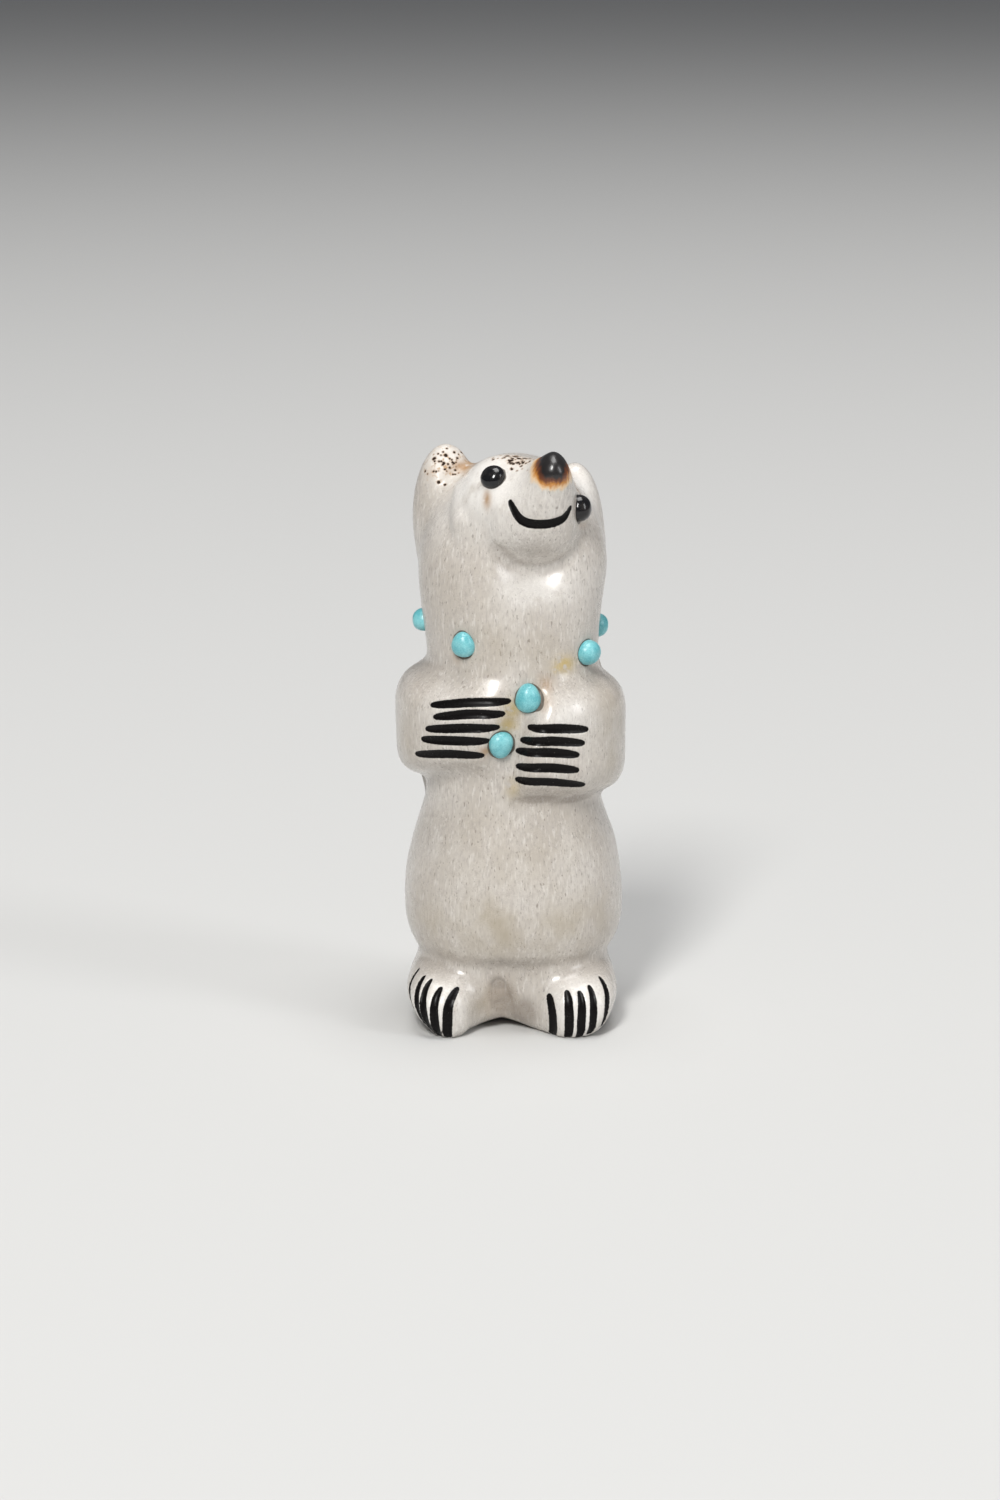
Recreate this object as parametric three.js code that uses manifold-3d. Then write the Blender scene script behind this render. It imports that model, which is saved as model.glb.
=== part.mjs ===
// A standing bear carved from one piece of antler, looking up, with set stones.
// Millimetres, +Z up, the front faces -Y. The origin is on the ground under the middle of the figure.

import * as THREE from "three";
import { mergeVertices } from "three/addons/utils/BufferGeometryUtils.js";
import Module from "manifold-3d";

// Driving dimensions
const HEIGHT = 57; // from the soles to the tip of the nose
const LAYOUT = 57.05; // the form is laid out on a figure this tall, and scaled to HEIGHT
const SCALE = HEIGHT / LAYOUT;
const CELL = 1.55; // spacing of the lattice that the carved skin is taken from, on that figure

const STONE_DIAMETER = 2.6; // a turquoise cabochon
const CHEST_STONE_DIAMETER = 2.8; // the large one in the middle of the chest
const STONE_HEIGHT = 1.2; // from the skin to the top of the dome
const EYE_DIAMETER = 2.4; // a jet cabochon
const EYE_HEIGHT = 0.8;
const SEAT_DEPTH = 0.8; // how deep a cabochon's seat is drilled
const SEAT_GAP = 0.3; // the glue line between a cabochon and its seat
const CLAW_WIDTH = 0.9; // a claw cut on a front paw, at its widest
const TOE_WIDTH = 0.6; // a claw cut on a foot
const MOUTH_WIDTH = 0.9;
const CUT_DEPTH = 0.25; // every cut, at its deepest
const ROUND_STEPS = 16; // sides of a cabochon and its seat
const CUT_STEPS = 5; // steps along a cut

// The figure's column: height, then how far it reaches to the left, the right, the front and the back.
const COLUMN = [
  [-4.0, 9.0, 9.0, 7.4, 8.2],
  [0.0, 9.2, 9.2, 7.8, 8.6],
  [4.0, 9.1, 9.2, 8.2, 8.9],
  [6.4, 9.1, 9.2, 8.6, 9.1],
  [8.2, 10.1, 10.2, 9.7, 9.8],
  [10.4, 10.9, 11.0, 10.5, 10.3],
  [14.0, 10.85, 10.9, 10.7, 10.3],
  [17.5, 10.1, 10.2, 10.2, 9.9],
  [20.0, 9.2, 9.2, 9.5, 9.4],
  [22.2, 8.6, 8.6, 9.0, 9.1],
  [27.0, 8.6, 8.6, 9.0, 9.1],
  [32.0, 8.7, 8.6, 9.1, 9.3],
  [36.5, 8.4, 8.3, 8.6, 8.8],
  [41.0, 9.0, 8.6, 8.6, 8.4],
  [46.0, 9.6, 9.5, 8.2, 8.4],
  [50.0, 9.8, 9.3, 7.6, 8.0],
  [60.0, 9.8, 8.4, 6.5, 7.5],
];
const TRIM = 1.5; // the skin is taken this far under the soles, and cut off flat at the ground
const SECTION_POWER = 2.3; // 2 is an ellipse, and a higher power is squarer

// The arms: slabs that stand proud of the column, between two edges that run round it.
// Each edge is a list of turns from the front, in degrees, and heights.
const ARMS = [
  {
    side: -1,
    top: [[-20, 34.4], [30, 34.6], [90, 34.8], [180, 34.8]],
    bottom: [[-20, 26.4], [15, 26.3], [45, 25.7], [90, 24.1], [180, 24.1]],
    end: [[26, 12], [28, 10], [34, -4], [36, -8]],
    proud: [1.4, 2.8],
  },
  {
    side: 1,
    top: [[-20, 29.8], [4, 31.2], [22, 34.0], [60, 34.4], [90, 34.0], [180, 34.0]],
    bottom: [[-20, 24.1], [15, 23.9], [45, 23.5], [90, 22.3], [180, 22.3]],
    end: [[22, 1], [36, 3]],
    proud: [1.9, 2.4],
  },
];
const ARM_TOP_EDGE = 3.4; // how softly a slab is rounded along its top
const ARM_EDGE = 3.1; // and along its bottom and its end

// The feet: centre, radii, how square they are and how far the toes turn out, in degrees.
const FEET = [
  { at: [-6.7, -2.4, 1.9], radii: [3.8, 8.5, 4.4], power: 2.15, turn: -6 },
  { at: [5.9, -2.4, 1.9], radii: [4.3, 8.5, 4.4], power: 2.15, turn: 8 },
];
const ARCH = { at: [-1.1, -9.0, -1.0], radii: [3.3, 7, 2.3] };

// The head: a crown that tops the column, two ears, a muzzle and a scoop under the chin.
const CROWN = { at: [0.2, 1.5, 36], radii: [11.8, 13, 19.4] };
const BROW = { at: [-1.3, -3.0, 50.6], radii: [4.2, 4.3, 5.2] };
const EARS = [
  { at: [-6.5, 3.4, 49], radii: [3.3, 3.4, 7.1], face: { at: [-6.4, 0.6, 53], normal: [0.25, -0.8, 0.55] } },
  { at: [6.0, 3.6, 47], radii: [2.9, 3.4, 7.2], face: { at: [5.8, 0.8, 52], normal: [-0.15, -0.8, 0.55] } },
];
const MUZZLE = { from: [1.6, -3.6, 50.2], to: [3.7, -8.2, 55.3], thick: [4.6, 1.65] };
const CHIN = { from: [2.3, -5.6, 49.7], to: [3.7, -8.8, 55.0], thick: [4.2, 1.55] };
const SCOOP = { at: [2.9, -9.5, 47.8], radii: [6.0, 3.6, 5.3] };

// The set stones. Each stands where a level line from the figure's axis, at a turn from the front and
// a height, leaves the skin. Turns are in degrees, positive to the right.
const EYES = [
  { name: "eye_left", turn: -17.5, height: 54.3 },
  { name: "eye_right", turn: 58, height: 51 },
];
const STONES = [
  { name: "stone_chest", turn: 9, height: 33.4, diameter: CHEST_STONE_DIAMETER },
  { name: "stone_between_paws", turn: -7.5, height: 29 },
  { name: "stone_front_left", turn: -33.5, height: 38.5 },
  { name: "stone_front_right", turn: 55.5, height: 37.1 },
  { name: "stone_side_left", turn: -95, height: 39.2 },
  { name: "stone_side_right", turn: 104, height: 38.4 },
  { name: "stone_back_left", turn: -150, height: 39.4 },
  { name: "stone_back_right", turn: 152, height: 39.0 },
];

// The cuts: each is a smooth line through turns and heights on the skin.
const MOUTH = [[-2.5, 52.4], [4.5, 50.7], [15.5, 50.3], [27, 50.7], [32.5, 51.8]];
const PAW_CLAWS = [
  [[-44.5, 32.6], [-24, 33.5], [-2, 33.3]],
  [[-42, 31.5], [-23, 32.1], [-5, 32.1]],
  [[-47, 30.2], [-26, 30.7], [-8, 30.8]],
  [[-50, 29.1], [-30.5, 29.4], [-13.5, 29.5]],
  [[-55.5, 27.4], [-33.5, 28], [-16.5, 28]],
  [[8.5, 30.8], [22, 30.8], [38.5, 30.4]],
  [[4.5, 29.5], [19.5, 29.6], [36.5, 29.1]],
  [[2, 28.4], [17.5, 28.5], [33.5, 28]],
  [[2, 26.9], [17, 27], [33.5, 26.5]],
  [[1.5, 25.6], [19, 25.5], [39, 24.8]],
];
const TOE_CLAWS = [
  [[-59.5, 5.6], [-56, 4], [-49, 1.5]],
  [[-49.5, 5.4], [-45, 3.6], [-40, 0.4]],
  [[-44, 5.3], [-40.5, 3.4], [-37.5, 0]],
  [[-37, 4.7], [-35.5, 3], [-35, -0.6]],
  [[-32, 4.6], [-31, 2.9], [-31.5, -0.6]],
  [[22, 4], [22.5, 2.1], [24, -0.6]],
  [[28.5, 4.4], [27, 2.7], [27.5, -0.6]],
  [[33.5, 4.5], [32, 2.8], [31.5, -0.4]],
  [[39.5, 4.9], [37, 3.2], [35, 0]],
  [[49.5, 5.3], [45.5, 3.6], [40.5, 0.6]],
];

const clamp = THREE.MathUtils.clamp;
const radians = THREE.MathUtils.degToRad;

// Joins two distances with a fillet, and cuts one by the other with a rounded edge.
function join(a, b, soft) {
  const h = Math.max(soft - Math.abs(a - b), 0) / soft;
  return Math.min(a, b) - (h * h * soft) / 4;
}
const cut = (a, b, soft) => -join(-a, -b, soft);

// A smooth curve through points [at, value, value, ...], read at one place.
function follow(points, at, column = 1) {
  const last = points.length - 1;
  if (at <= points[0][0]) return points[0][column];
  if (at >= points[last][0]) return points[last][column];
  let i = 0;
  while (points[i + 1][0] < at) i++;
  const slope = (j) => {
    const a = points[Math.max(j - 1, 0)];
    const b = points[Math.min(j + 1, last)];
    return (b[column] - a[column]) / (b[0] - a[0]);
  };
  const step = points[i + 1][0] - points[i][0];
  const t = (at - points[i][0]) / step;
  const [p0, p1] = [points[i][column], points[i + 1][column]];
  const [m0, m1] = [slope(i) * step, slope(i + 1) * step];
  const t2 = t * t;
  const t3 = t2 * t;
  return (
    (2 * t3 - 3 * t2 + 1) * p0 + (t3 - 2 * t2 + t) * m0 + (3 * t2 - 2 * t3) * p1 + (t3 - t2) * m1
  );
}

// The distance to an ellipsoid, or to a squarer form of one where the power is over 2.
function ellipsoid(x, y, z, { at, radii, power = 2, turn = 0 }) {
  const [dx, dy] = [x - at[0], y - at[1]];
  const [c, s] = [Math.cos(radians(turn)), Math.sin(radians(turn))];
  const p = [(dx * c + dy * s) / radii[0], (dy * c - dx * s) / radii[1], (z - at[2]) / radii[2]].map(Math.abs);
  const size = (p[0] ** power + p[1] ** power + p[2] ** power) ** (1 / power);
  if (size < 1e-3) return -Math.min(...radii);
  const steep = Math.hypot(...p.map((v, n) => v ** (power - 1) / radii[n])) / size ** (power - 1);
  return (size - 1) / steep;
}

// The distance to a round rod that tapers from one ball to another.
function taperedRod(x, y, z, { from, to, thick }) {
  const axis = to.map((v, n) => v - from[n]);
  const length = Math.hypot(...axis);
  const away = [x - from[0], y - from[1], z - from[2]];
  const along = axis.reduce((sum, v, n) => sum + v * away[n], 0) / length;
  const aside = Math.sqrt(Math.max(away.reduce((sum, v) => sum + v * v, 0) - along * along, 0));
  const slope = (thick[0] - thick[1]) / length;
  const foot = clamp(along - (aside * slope) / Math.sqrt(1 - slope * slope), 0, length);
  return Math.hypot(along - foot, aside) - (thick[0] - slope * foot);
}

function column(x, y, z) {
  const wide = follow(COLUMN, z, x < 0 ? 1 : 2);
  const deep = follow(COLUMN, z, y < 0 ? 3 : 4);
  const reach = Math.hypot(x, y);
  const share = (Math.abs(x / wide) ** SECTION_POWER + Math.abs(y / deep) ** SECTION_POWER) ** (1 / SECTION_POWER);
  return share < 1e-6 ? -wide : reach * (1 - 1 / share);
}

function arm(x, y, z, body, { side, top, bottom, end, proud }) {
  const turn = THREE.MathUtils.radToDeg(Math.atan2(side * x, -y));
  const round = turn < -90 ? turn + 360 : turn;
  const reach = Math.hypot(x, y);
  const thick = proud[0] + (proud[1] - proud[0]) * THREE.MathUtils.smoothstep(round, 10, 80);
  const fade = 1 - THREE.MathUtils.smoothstep(round, 100, 175) * 0.75;
  const above = z - follow(top, round);
  const below = follow(bottom, round) - z;
  const beyond = radians(follow(end, z) - round) * Math.max(reach, 4);
  const slab = cut(body - thick * fade, above, ARM_TOP_EDGE);
  return cut(slab, cut(below, beyond, 1), ARM_EDGE);
}

// An ear is an egg whose face is cut off flat.
function earOf(x, y, z, ear) {
  const { at, normal } = ear.face;
  const size = Math.hypot(...normal);
  const before = ((x - at[0]) * normal[0] + (y - at[1]) * normal[1] + (z - at[2]) * normal[2]) / size;
  return cut(ellipsoid(x, y, z, ear), before, 1.0);
}

// The carved form as it is laid out, as a distance: negative inside, positive outside.
function laidOut(x, y, z) {
  const trunk = column(x, y, z);
  let body = cut(trunk, ellipsoid(x, y, Math.max(z, CROWN.at[2]), CROWN), 3);
  body = join(body, ellipsoid(x, y, z, BROW), 1.5);
  body = cut(body, -ellipsoid(x, y, z, SCOOP), 0.8);
  for (const ear of EARS) body = join(body, earOf(x, y, z, ear), 1.0);
  const muzzle = join(taperedRod(x, y, z, MUZZLE), taperedRod(x, y, z, CHIN), 1.2);
  body = join(body, muzzle, 0.8 + 2.2 * THREE.MathUtils.smoothstep(z, 48, 53));
  let arms = Infinity;
  for (const one of ARMS) arms = Math.min(arms, arm(x, y, z, trunk, one));
  body = join(body, arms, 1.1 + 0.5 * THREE.MathUtils.smoothstep(z, 30, 34));
  for (const foot of FEET) body = join(body, ellipsoid(x, y, z, foot), 2.2);
  body = cut(body, -ellipsoid(x, y, z, ARCH), 0.8);
  return Math.max(body, -TRIM - z);
}

const form = (x, y, z) => SCALE * laidOut(x / SCALE, y / SCALE, z / SCALE);

function slope(x, y, z, step = 0.02) {
  return [
    (form(x + step, y, z) - form(x - step, y, z)) / (2 * step),
    (form(x, y + step, z) - form(x, y - step, z)) / (2 * step),
    (form(x, y, z + step) - form(x, y, z - step)) / (2 * step),
  ];
}

// Takes the skin off the form on a lattice: one point for each crossed cell, pulled onto the surface.
function skin() {
  const cell = CELL * SCALE;
  const low = new THREE.Vector3(-14, -14, -5).multiplyScalar(SCALE);
  const high = new THREE.Vector3(14, 14, 61).multiplyScalar(SCALE);
  const count = high.clone().sub(low).divideScalar(cell).ceil();
  const [nx, ny, nz] = [count.x + 1, count.y + 1, count.z + 1];
  const index = (i, j, k) => (k * ny + j) * nx + i;
  const value = new Float64Array(nx * ny * nz);
  for (let k = 0; k < nz; k++)
    for (let j = 0; j < ny; j++)
      for (let i = 0; i < nx; i++)
        value[index(i, j, k)] = form(low.x + i * cell, low.y + j * cell, low.z + k * cell);

  const corners = [0, 1, 2, 3, 4, 5, 6, 7].map((c) => [c & 1, (c >> 1) & 1, c >> 2]);
  const edges = [];
  for (let a = 0; a < 8; a++) for (const bit of [1, 2, 4]) if (!(a & bit)) edges.push([a, a | bit]);
  const points = [];
  const pointOf = new Int32Array(nx * ny * nz).fill(-1);
  for (let k = 0; k < nz - 1; k++)
    for (let j = 0; j < ny - 1; j++)
      for (let i = 0; i < nx - 1; i++) {
        const at = corners.map(([a, b, c]) => value[index(i + a, j + b, k + c)]);
        const sum = [0, 0, 0];
        let hits = 0;
        for (const [a, b] of edges) {
          if (at[a] < 0 === at[b] < 0) continue;
          const t = at[a] / (at[a] - at[b]);
          for (let n = 0; n < 3; n++) sum[n] += corners[a][n] + t * (corners[b][n] - corners[a][n]);
          hits++;
        }
        if (!hits) continue;
        const p = [
          low.x + (i + sum[0] / hits) * cell,
          low.y + (j + sum[1] / hits) * cell,
          low.z + (k + sum[2] / hits) * cell,
        ];
        for (let pass = 0; pass < 4; pass++) {
          const off = form(...p);
          const g = slope(...p);
          const steep = g[0] ** 2 + g[1] ** 2 + g[2] ** 2;
          const pull = clamp(off / Math.max(steep, 0.3), -0.3 * cell, 0.3 * cell);
          for (let n = 0; n < 3; n++) p[n] -= pull * g[n];
        }
        pointOf[index(i, j, k)] = points.length / 3;
        points.push(...p);
      }

  const faces = [];
  const far = (a, b) =>
    Math.hypot(points[3 * a] - points[3 * b], points[3 * a + 1] - points[3 * b + 1], points[3 * a + 2] - points[3 * b + 2]);
  const quad = (a, b, c, d, flip) => {
    if (flip) [b, d] = [d, b];
    if (far(a, c) < far(b, d)) faces.push(a, b, c, a, c, d);
    else faces.push(b, c, d, b, d, a);
  };
  for (let k = 1; k < nz - 1; k++)
    for (let j = 1; j < ny - 1; j++)
      for (let i = 1; i < nx - 1; i++) {
        const here = value[index(i, j, k)] < 0;
        const cellAt = (a, b, c) => pointOf[index(i - a, j - b, k - c)];
        if (here !== value[index(i + 1, j, k)] < 0)
          quad(cellAt(0, 1, 1), cellAt(0, 0, 1), cellAt(0, 0, 0), cellAt(0, 1, 0), !here);
        if (here !== value[index(i, j + 1, k)] < 0)
          quad(cellAt(1, 0, 1), cellAt(1, 0, 0), cellAt(0, 0, 0), cellAt(0, 0, 1), !here);
        if (here !== value[index(i, j, k + 1)] < 0)
          quad(cellAt(1, 1, 0), cellAt(0, 1, 0), cellAt(0, 0, 0), cellAt(1, 0, 0), !here);
      }
  const geometry = new THREE.BufferGeometry();
  geometry.setAttribute("position", new THREE.Float32BufferAttribute(points, 3));
  geometry.setIndex(faces);
  return geometry;
}

// The place on the skin at a turn and a height: the point and the way out.
function onSkin(turn, z) {
  const way = [Math.sin(radians(turn)), -Math.cos(radians(turn))];
  let reach = 16 * SCALE;
  for (let step = 0; step < 90; step++) reach -= 0.6 * form(way[0] * reach, way[1] * reach, z);
  const at = new THREE.Vector3(way[0] * reach, way[1] * reach, z);
  return { at, out: new THREE.Vector3(...slope(...at.toArray())).normalize() };
}

// A closed body through rings of points, with flat ends.
function loft(rings) {
  const around = rings[0].length;
  const faces = [];
  for (let i = 1; i < rings.length; i++)
    for (let j = 0; j < around; j++) {
      const [a, b] = [(i - 1) * around + j, (i - 1) * around + ((j + 1) % around)];
      faces.push(a, b + around, b, a, a + around, b + around);
    }
  const last = (rings.length - 1) * around;
  for (let j = 1; j < around - 1; j++) faces.push(0, j, j + 1, last, last + j + 1, last + j);
  const geometry = new THREE.BufferGeometry();
  geometry.setFromPoints(rings.flat());
  geometry.setIndex(faces);
  return geometry;
}

// What a graver takes away along a line on the skin. It is widest in the middle and runs out at its ends,
// or stays at its widest at the last end where it runs off the edge of a sole.
function gravure(line, width, runsOff) {
  const curve = new THREE.SplineCurve(line.map(([turn, height]) => new THREE.Vector2(turn, height * SCALE)));
  const read = (share) => onSkin(...curve.getPoint(clamp(share, 0, 1)).toArray());
  const section = [[-0.5, 0.1], [0, -1], [0.5, 0.1], [0.6, 3], [-0.6, 3]];
  const rings = [];
  for (let i = 0; i <= CUT_STEPS; i++) {
    const sweep = ((runsOff ? 0.5 : 1) * Math.PI * i) / CUT_STEPS;
    const share = (1 - Math.cos(sweep)) / (runsOff ? 1 : 2);
    const full = Math.max(Math.sin(sweep), 0.12);
    const { at, out } = read(share);
    const along = read(share + 0.03).at.sub(read(share - 0.03).at).normalize();
    const across = along.cross(out).normalize();
    rings.push(
      section.map(([side, up]) =>
        at.clone().addScaledVector(across, side * width * full).addScaledVector(out, up * CUT_DEPTH * full),
      ),
    );
  }
  return loft(rings);
}

// A shape whose faces share their corners.
function welded(geometry) {
  geometry.deleteAttribute("normal");
  geometry.deleteAttribute("uv");
  return mergeVertices(geometry, 1e-4);
}

const UP = new THREE.Vector3(0, 1, 0);

// The hole drilled for a cabochon, from clear of its dome to the seat's floor.
function seat(place, diameter) {
  const reach = STONE_HEIGHT + 1;
  const radius = diameter / 2 + SEAT_GAP;
  const hole = welded(new THREE.CylinderGeometry(radius, radius, reach + SEAT_DEPTH, ROUND_STEPS));
  hole.translate(0, (reach - SEAT_DEPTH) / 2, 0);
  hole.applyQuaternion(new THREE.Quaternion().setFromUnitVectors(UP, place.out));
  hole.translate(...place.at.toArray());
  return hole;
}

// A cabochon: a straight girdle down in the seat and a dome above the skin.
function cabochon(name, place, diameter, height, material) {
  const r = diameter / 2;
  const profile = [
    [0, SEAT_GAP - SEAT_DEPTH],
    [r, SEAT_GAP - SEAT_DEPTH],
    [r, 0.3 * height],
    [0.84 * r, 0.68 * height],
    [0.48 * r, 0.93 * height],
    [0, height],
  ];
  const shape = new THREE.LatheGeometry(profile.map(([x, y]) => new THREE.Vector2(x, y)), ROUND_STEPS);
  const stone = new THREE.Mesh(shape, material);
  stone.name = name;
  stone.position.copy(place.at);
  stone.quaternion.setFromUnitVectors(UP, place.out);
  return stone;
}

const wasm = await Module();
wasm.setup();

function solid(geometry) {
  return new wasm.Manifold(
    new wasm.Mesh({
      numProp: 3,
      vertProperties: geometry.getAttribute("position").array,
      triVerts: new Uint32Array(geometry.getIndex().array),
    }),
  );
}

function geometryOf(made) {
  const { numProp, numVert, vertProperties, triVerts } = made.getMesh();
  const points = new Float32Array(numVert * 3);
  for (let i = 0; i < numVert; i++) points.set(vertProperties.subarray(i * numProp, i * numProp + 3), i * 3);
  const geometry = new THREE.BufferGeometry();
  geometry.setAttribute("position", new THREE.BufferAttribute(points, 3));
  geometry.setIndex(new THREE.BufferAttribute(triVerts, 1));
  return geometry;
}

const group = new THREE.Group();
const ground = welded(new THREE.BoxGeometry(60, 60, 10));
ground.scale(SCALE, SCALE, SCALE);
ground.translate(0, 0, -5 * SCALE);
let figure = solid(skin()).subtract(solid(ground));

const jet = () => new THREE.MeshStandardMaterial({ color: 0x0d0d0e, roughness: 0.12, metalness: 0 });
const turquoise = () => new THREE.MeshStandardMaterial({ color: 0x5fc4c9, roughness: 0.3, metalness: 0 });
for (const { name, turn, height } of EYES) {
  const place = onSkin(turn, height * SCALE);
  figure = figure.subtract(solid(seat(place, EYE_DIAMETER)));
  group.add(cabochon(name, place, EYE_DIAMETER, EYE_HEIGHT, jet()));
}
for (const { name, turn, height, diameter = STONE_DIAMETER } of STONES) {
  const place = onSkin(turn, height * SCALE);
  figure = figure.subtract(solid(seat(place, diameter)));
  group.add(cabochon(name, place, diameter, STONE_HEIGHT, turquoise()));
}

figure = figure.subtract(solid(gravure(MOUTH, MOUTH_WIDTH, false)));
for (const line of PAW_CLAWS) figure = figure.subtract(solid(gravure(line, CLAW_WIDTH, false)));
for (const line of TOE_CLAWS) figure = figure.subtract(solid(gravure(line, TOE_WIDTH, true)));

const antler = new THREE.MeshStandardMaterial({ color: 0xd5cec4, roughness: 0.35, metalness: 0 });
const bear = new THREE.Mesh(geometryOf(figure), antler);
bear.name = "bear";
group.add(bear);

export default group;
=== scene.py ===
# %% [markdown]
# # A standing bear carved from antler
#
# The figure is one piece of polished antler with two black eyes and a ring of turquoise cabochons
# set into it. Its claws and mouth are cut with a graver and filled with black. The solid model gives
# the form at its real size. This lesson dresses that model: it makes a fine skin for the same form,
# cuts the claws into it, sets the stones, and gives each of them the finish of the real material.
# Lengths are in millimetres until a mesh is finished, and Blender's own metres after that.

# %% Load the solid model
import math

import bmesh
import bpy
import numpy as np
from mathutils import Matrix, Vector


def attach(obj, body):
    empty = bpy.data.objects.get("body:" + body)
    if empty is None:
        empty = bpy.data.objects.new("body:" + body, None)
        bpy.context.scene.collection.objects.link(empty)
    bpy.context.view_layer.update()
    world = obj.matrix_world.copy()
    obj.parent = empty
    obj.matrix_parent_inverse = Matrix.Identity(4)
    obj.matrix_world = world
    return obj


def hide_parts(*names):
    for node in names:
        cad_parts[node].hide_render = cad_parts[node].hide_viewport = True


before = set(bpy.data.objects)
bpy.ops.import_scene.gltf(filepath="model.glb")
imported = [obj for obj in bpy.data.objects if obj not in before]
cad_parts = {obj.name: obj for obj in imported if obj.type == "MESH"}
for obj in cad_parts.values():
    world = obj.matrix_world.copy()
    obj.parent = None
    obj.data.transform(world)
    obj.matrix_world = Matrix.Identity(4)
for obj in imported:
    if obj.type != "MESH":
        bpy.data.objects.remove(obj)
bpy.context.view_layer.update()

MM = 0.001

# %% [markdown]
# ## The camera
#
# The photograph looks slightly down at the front of the figure with a long lens. The camera stands
# back along that line, and its lens gives the same size in the frame. A long lens from further off
# keeps the upright sides nearly straight, as they are in the photograph.

# %% Place the camera
LOOK_AT = Vector((-1.27, 0.0, 26.3)) * MM
CAMERA_RAISE = math.radians(13.0)
CAMERA_REACH = 367.6 * MM


def new_object(name, data):
    """An object for a mesh, a camera or a light, linked into the scene."""
    made = bpy.data.objects.new(name, data)
    bpy.context.scene.collection.objects.link(made)
    return made


camera_data = bpy.data.cameras.new("camera")
camera_data.lens = 90.0
camera_data.sensor_width = 36.0
camera_data.clip_start = 0.01
camera_data.clip_end = 20.0
camera = new_object("camera", camera_data)
back = Vector((0.0, -math.cos(CAMERA_RAISE), math.sin(CAMERA_RAISE)))
camera.location = LOOK_AT + back * CAMERA_REACH
camera.rotation_euler = (-back).to_track_quat("-Z", "Y").to_euler()
bpy.context.scene.camera = camera
print("camera at", [round(v, 4) for v in camera.location])

# %% [markdown]
# ## Floor and light
#
# A small polished thing shows its form by the soft bright shapes that its surface mirrors. An
# upright soft light at the front left acts as a window and gives the small bright highlights. A wide
# one overhead shades the undersides, a weak one on the right opens the shadows, and the pale floor
# sends some light back up under the chin and paws.

# %% Lay the floor
floor_mesh = bpy.data.meshes.new("floor")
bm = bmesh.new()
bmesh.ops.create_grid(bm, x_segments=1, y_segments=1, size=12.0)
bm.to_mesh(floor_mesh)
bm.free()
floor = new_object("floor", floor_mesh)
paper = bpy.data.materials.new("pale_paper")
paper.use_nodes = True
shader = paper.node_tree.nodes["Principled BSDF"]
shader.inputs["Base Color"].default_value = (0.62, 0.62, 0.61, 1)
shader.inputs["Roughness"].default_value = 0.9
floor_mesh.materials.append(paper)
print("floor, m:", [round(v, 1) for v in floor.dimensions])

# %% Hang the lights
# Each light: place, width and height in metres, power in watts, colour.
LIGHTS = {
    "window": ((-0.34, -1.16, 1.24), (0.28, 0.64), 21.5, (1.0, 0.99, 0.97)),
    "ceiling": ((0.10, 0.05, 1.70), (0.9, 0.9), 17.0, (1.0, 0.99, 0.98)),
    "fill": ((1.36, -0.70, 0.80), (0.4, 0.9), 6.0, (0.97, 0.98, 1.0)),
}
MIDDLE = Vector((0, 0, 0.03))
for name, (place, size, power, colour) in LIGHTS.items():
    data = bpy.data.lights.new(name, "AREA")
    data.shape = "RECTANGLE"
    data.size, data.size_y = size
    data.energy = power
    data.color = colour
    lamp = new_object(name, data)
    lamp.location = place
    lamp.rotation_euler = (MIDDLE - Vector(place)).to_track_quat("-Z", "Y").to_euler()
world = bpy.data.worlds.new("surround")
bpy.context.scene.world = world
world.use_nodes = True
sky = world.node_tree.nodes["Background"]
sky.inputs["Color"].default_value = (0.93, 0.95, 1.0, 1)
sky.inputs["Strength"].default_value = 0.15
bpy.context.scene.view_settings.view_transform = "Standard"
print("lights:", ", ".join(LIGHTS))

# %% [markdown]
# ## The form, as numbers
#
# The solid model was carved in code: a column with a rounded section, two slabs for the arms, eggs
# for the feet and ears, and a tapering muzzle, melted into each other. The fine skin is drawn onto
# the same form, so the same values are written here, some of them moved by a few tenths of a
# millimetre where a render beside the photograph showed that the belly, feet or chin stood out
# too little or too much.
#
# ### The trunk
#
# The carver kept the roundness of the antler. So the trunk is a table of heights, with the reach
# to the left, right, front and back at each, and a section between a circle and a square.

# %% The trunk
SCALE = 57 / 57.05  # the form is laid out a little taller than the figure
COLUMN = np.array([
    [-4.0, 9.0, 9.0, 7.4, 8.2],
    [0.0, 9.2, 9.2, 7.8, 8.6],
    [4.0, 9.1, 9.2, 8.2, 8.9],
    [6.4, 9.1, 9.2, 8.6, 9.1],
    [8.2, 10.45, 10.5, 9.7, 9.8],
    [10.4, 11.25, 11.25, 10.5, 10.3],
    [14.0, 11.15, 11.0, 10.7, 10.3],
    [17.5, 10.1, 10.2, 10.2, 9.9],
    [20.0, 9.2, 9.2, 9.5, 9.4],
    [22.2, 8.6, 8.6, 9.0, 9.1],
    [27.0, 8.6, 8.6, 9.0, 9.1],
    [32.0, 8.7, 8.6, 9.1, 9.3],
    [36.5, 8.4, 8.3, 8.6, 8.8],
    [41.0, 9.0, 8.6, 8.6, 8.4],
    [46.0, 9.85, 9.5, 8.2, 8.4],
    [50.0, 9.8, 9.3, 7.6, 8.0],
    [60.0, 9.8, 8.4, 6.5, 7.5],
])
SECTION_POWER = 2.3  # 2 is an ellipse, and more is squarer
print("the trunk is", COLUMN[:, 1:3].sum(axis=1).max(), "mm at its widest")

# %% [markdown]
# ### The arms and feet
#
# The arms are low slabs left standing when the neck and waist were filed down. Each has a top and
# a bottom edge that run round the trunk, given as [turn, height], an end at the front, given as
# [height, turn], and a thickness at the paw and at the elbow. The feet are squarish eggs, turned
# a little outward, with a low arch cut between the toes.

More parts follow.
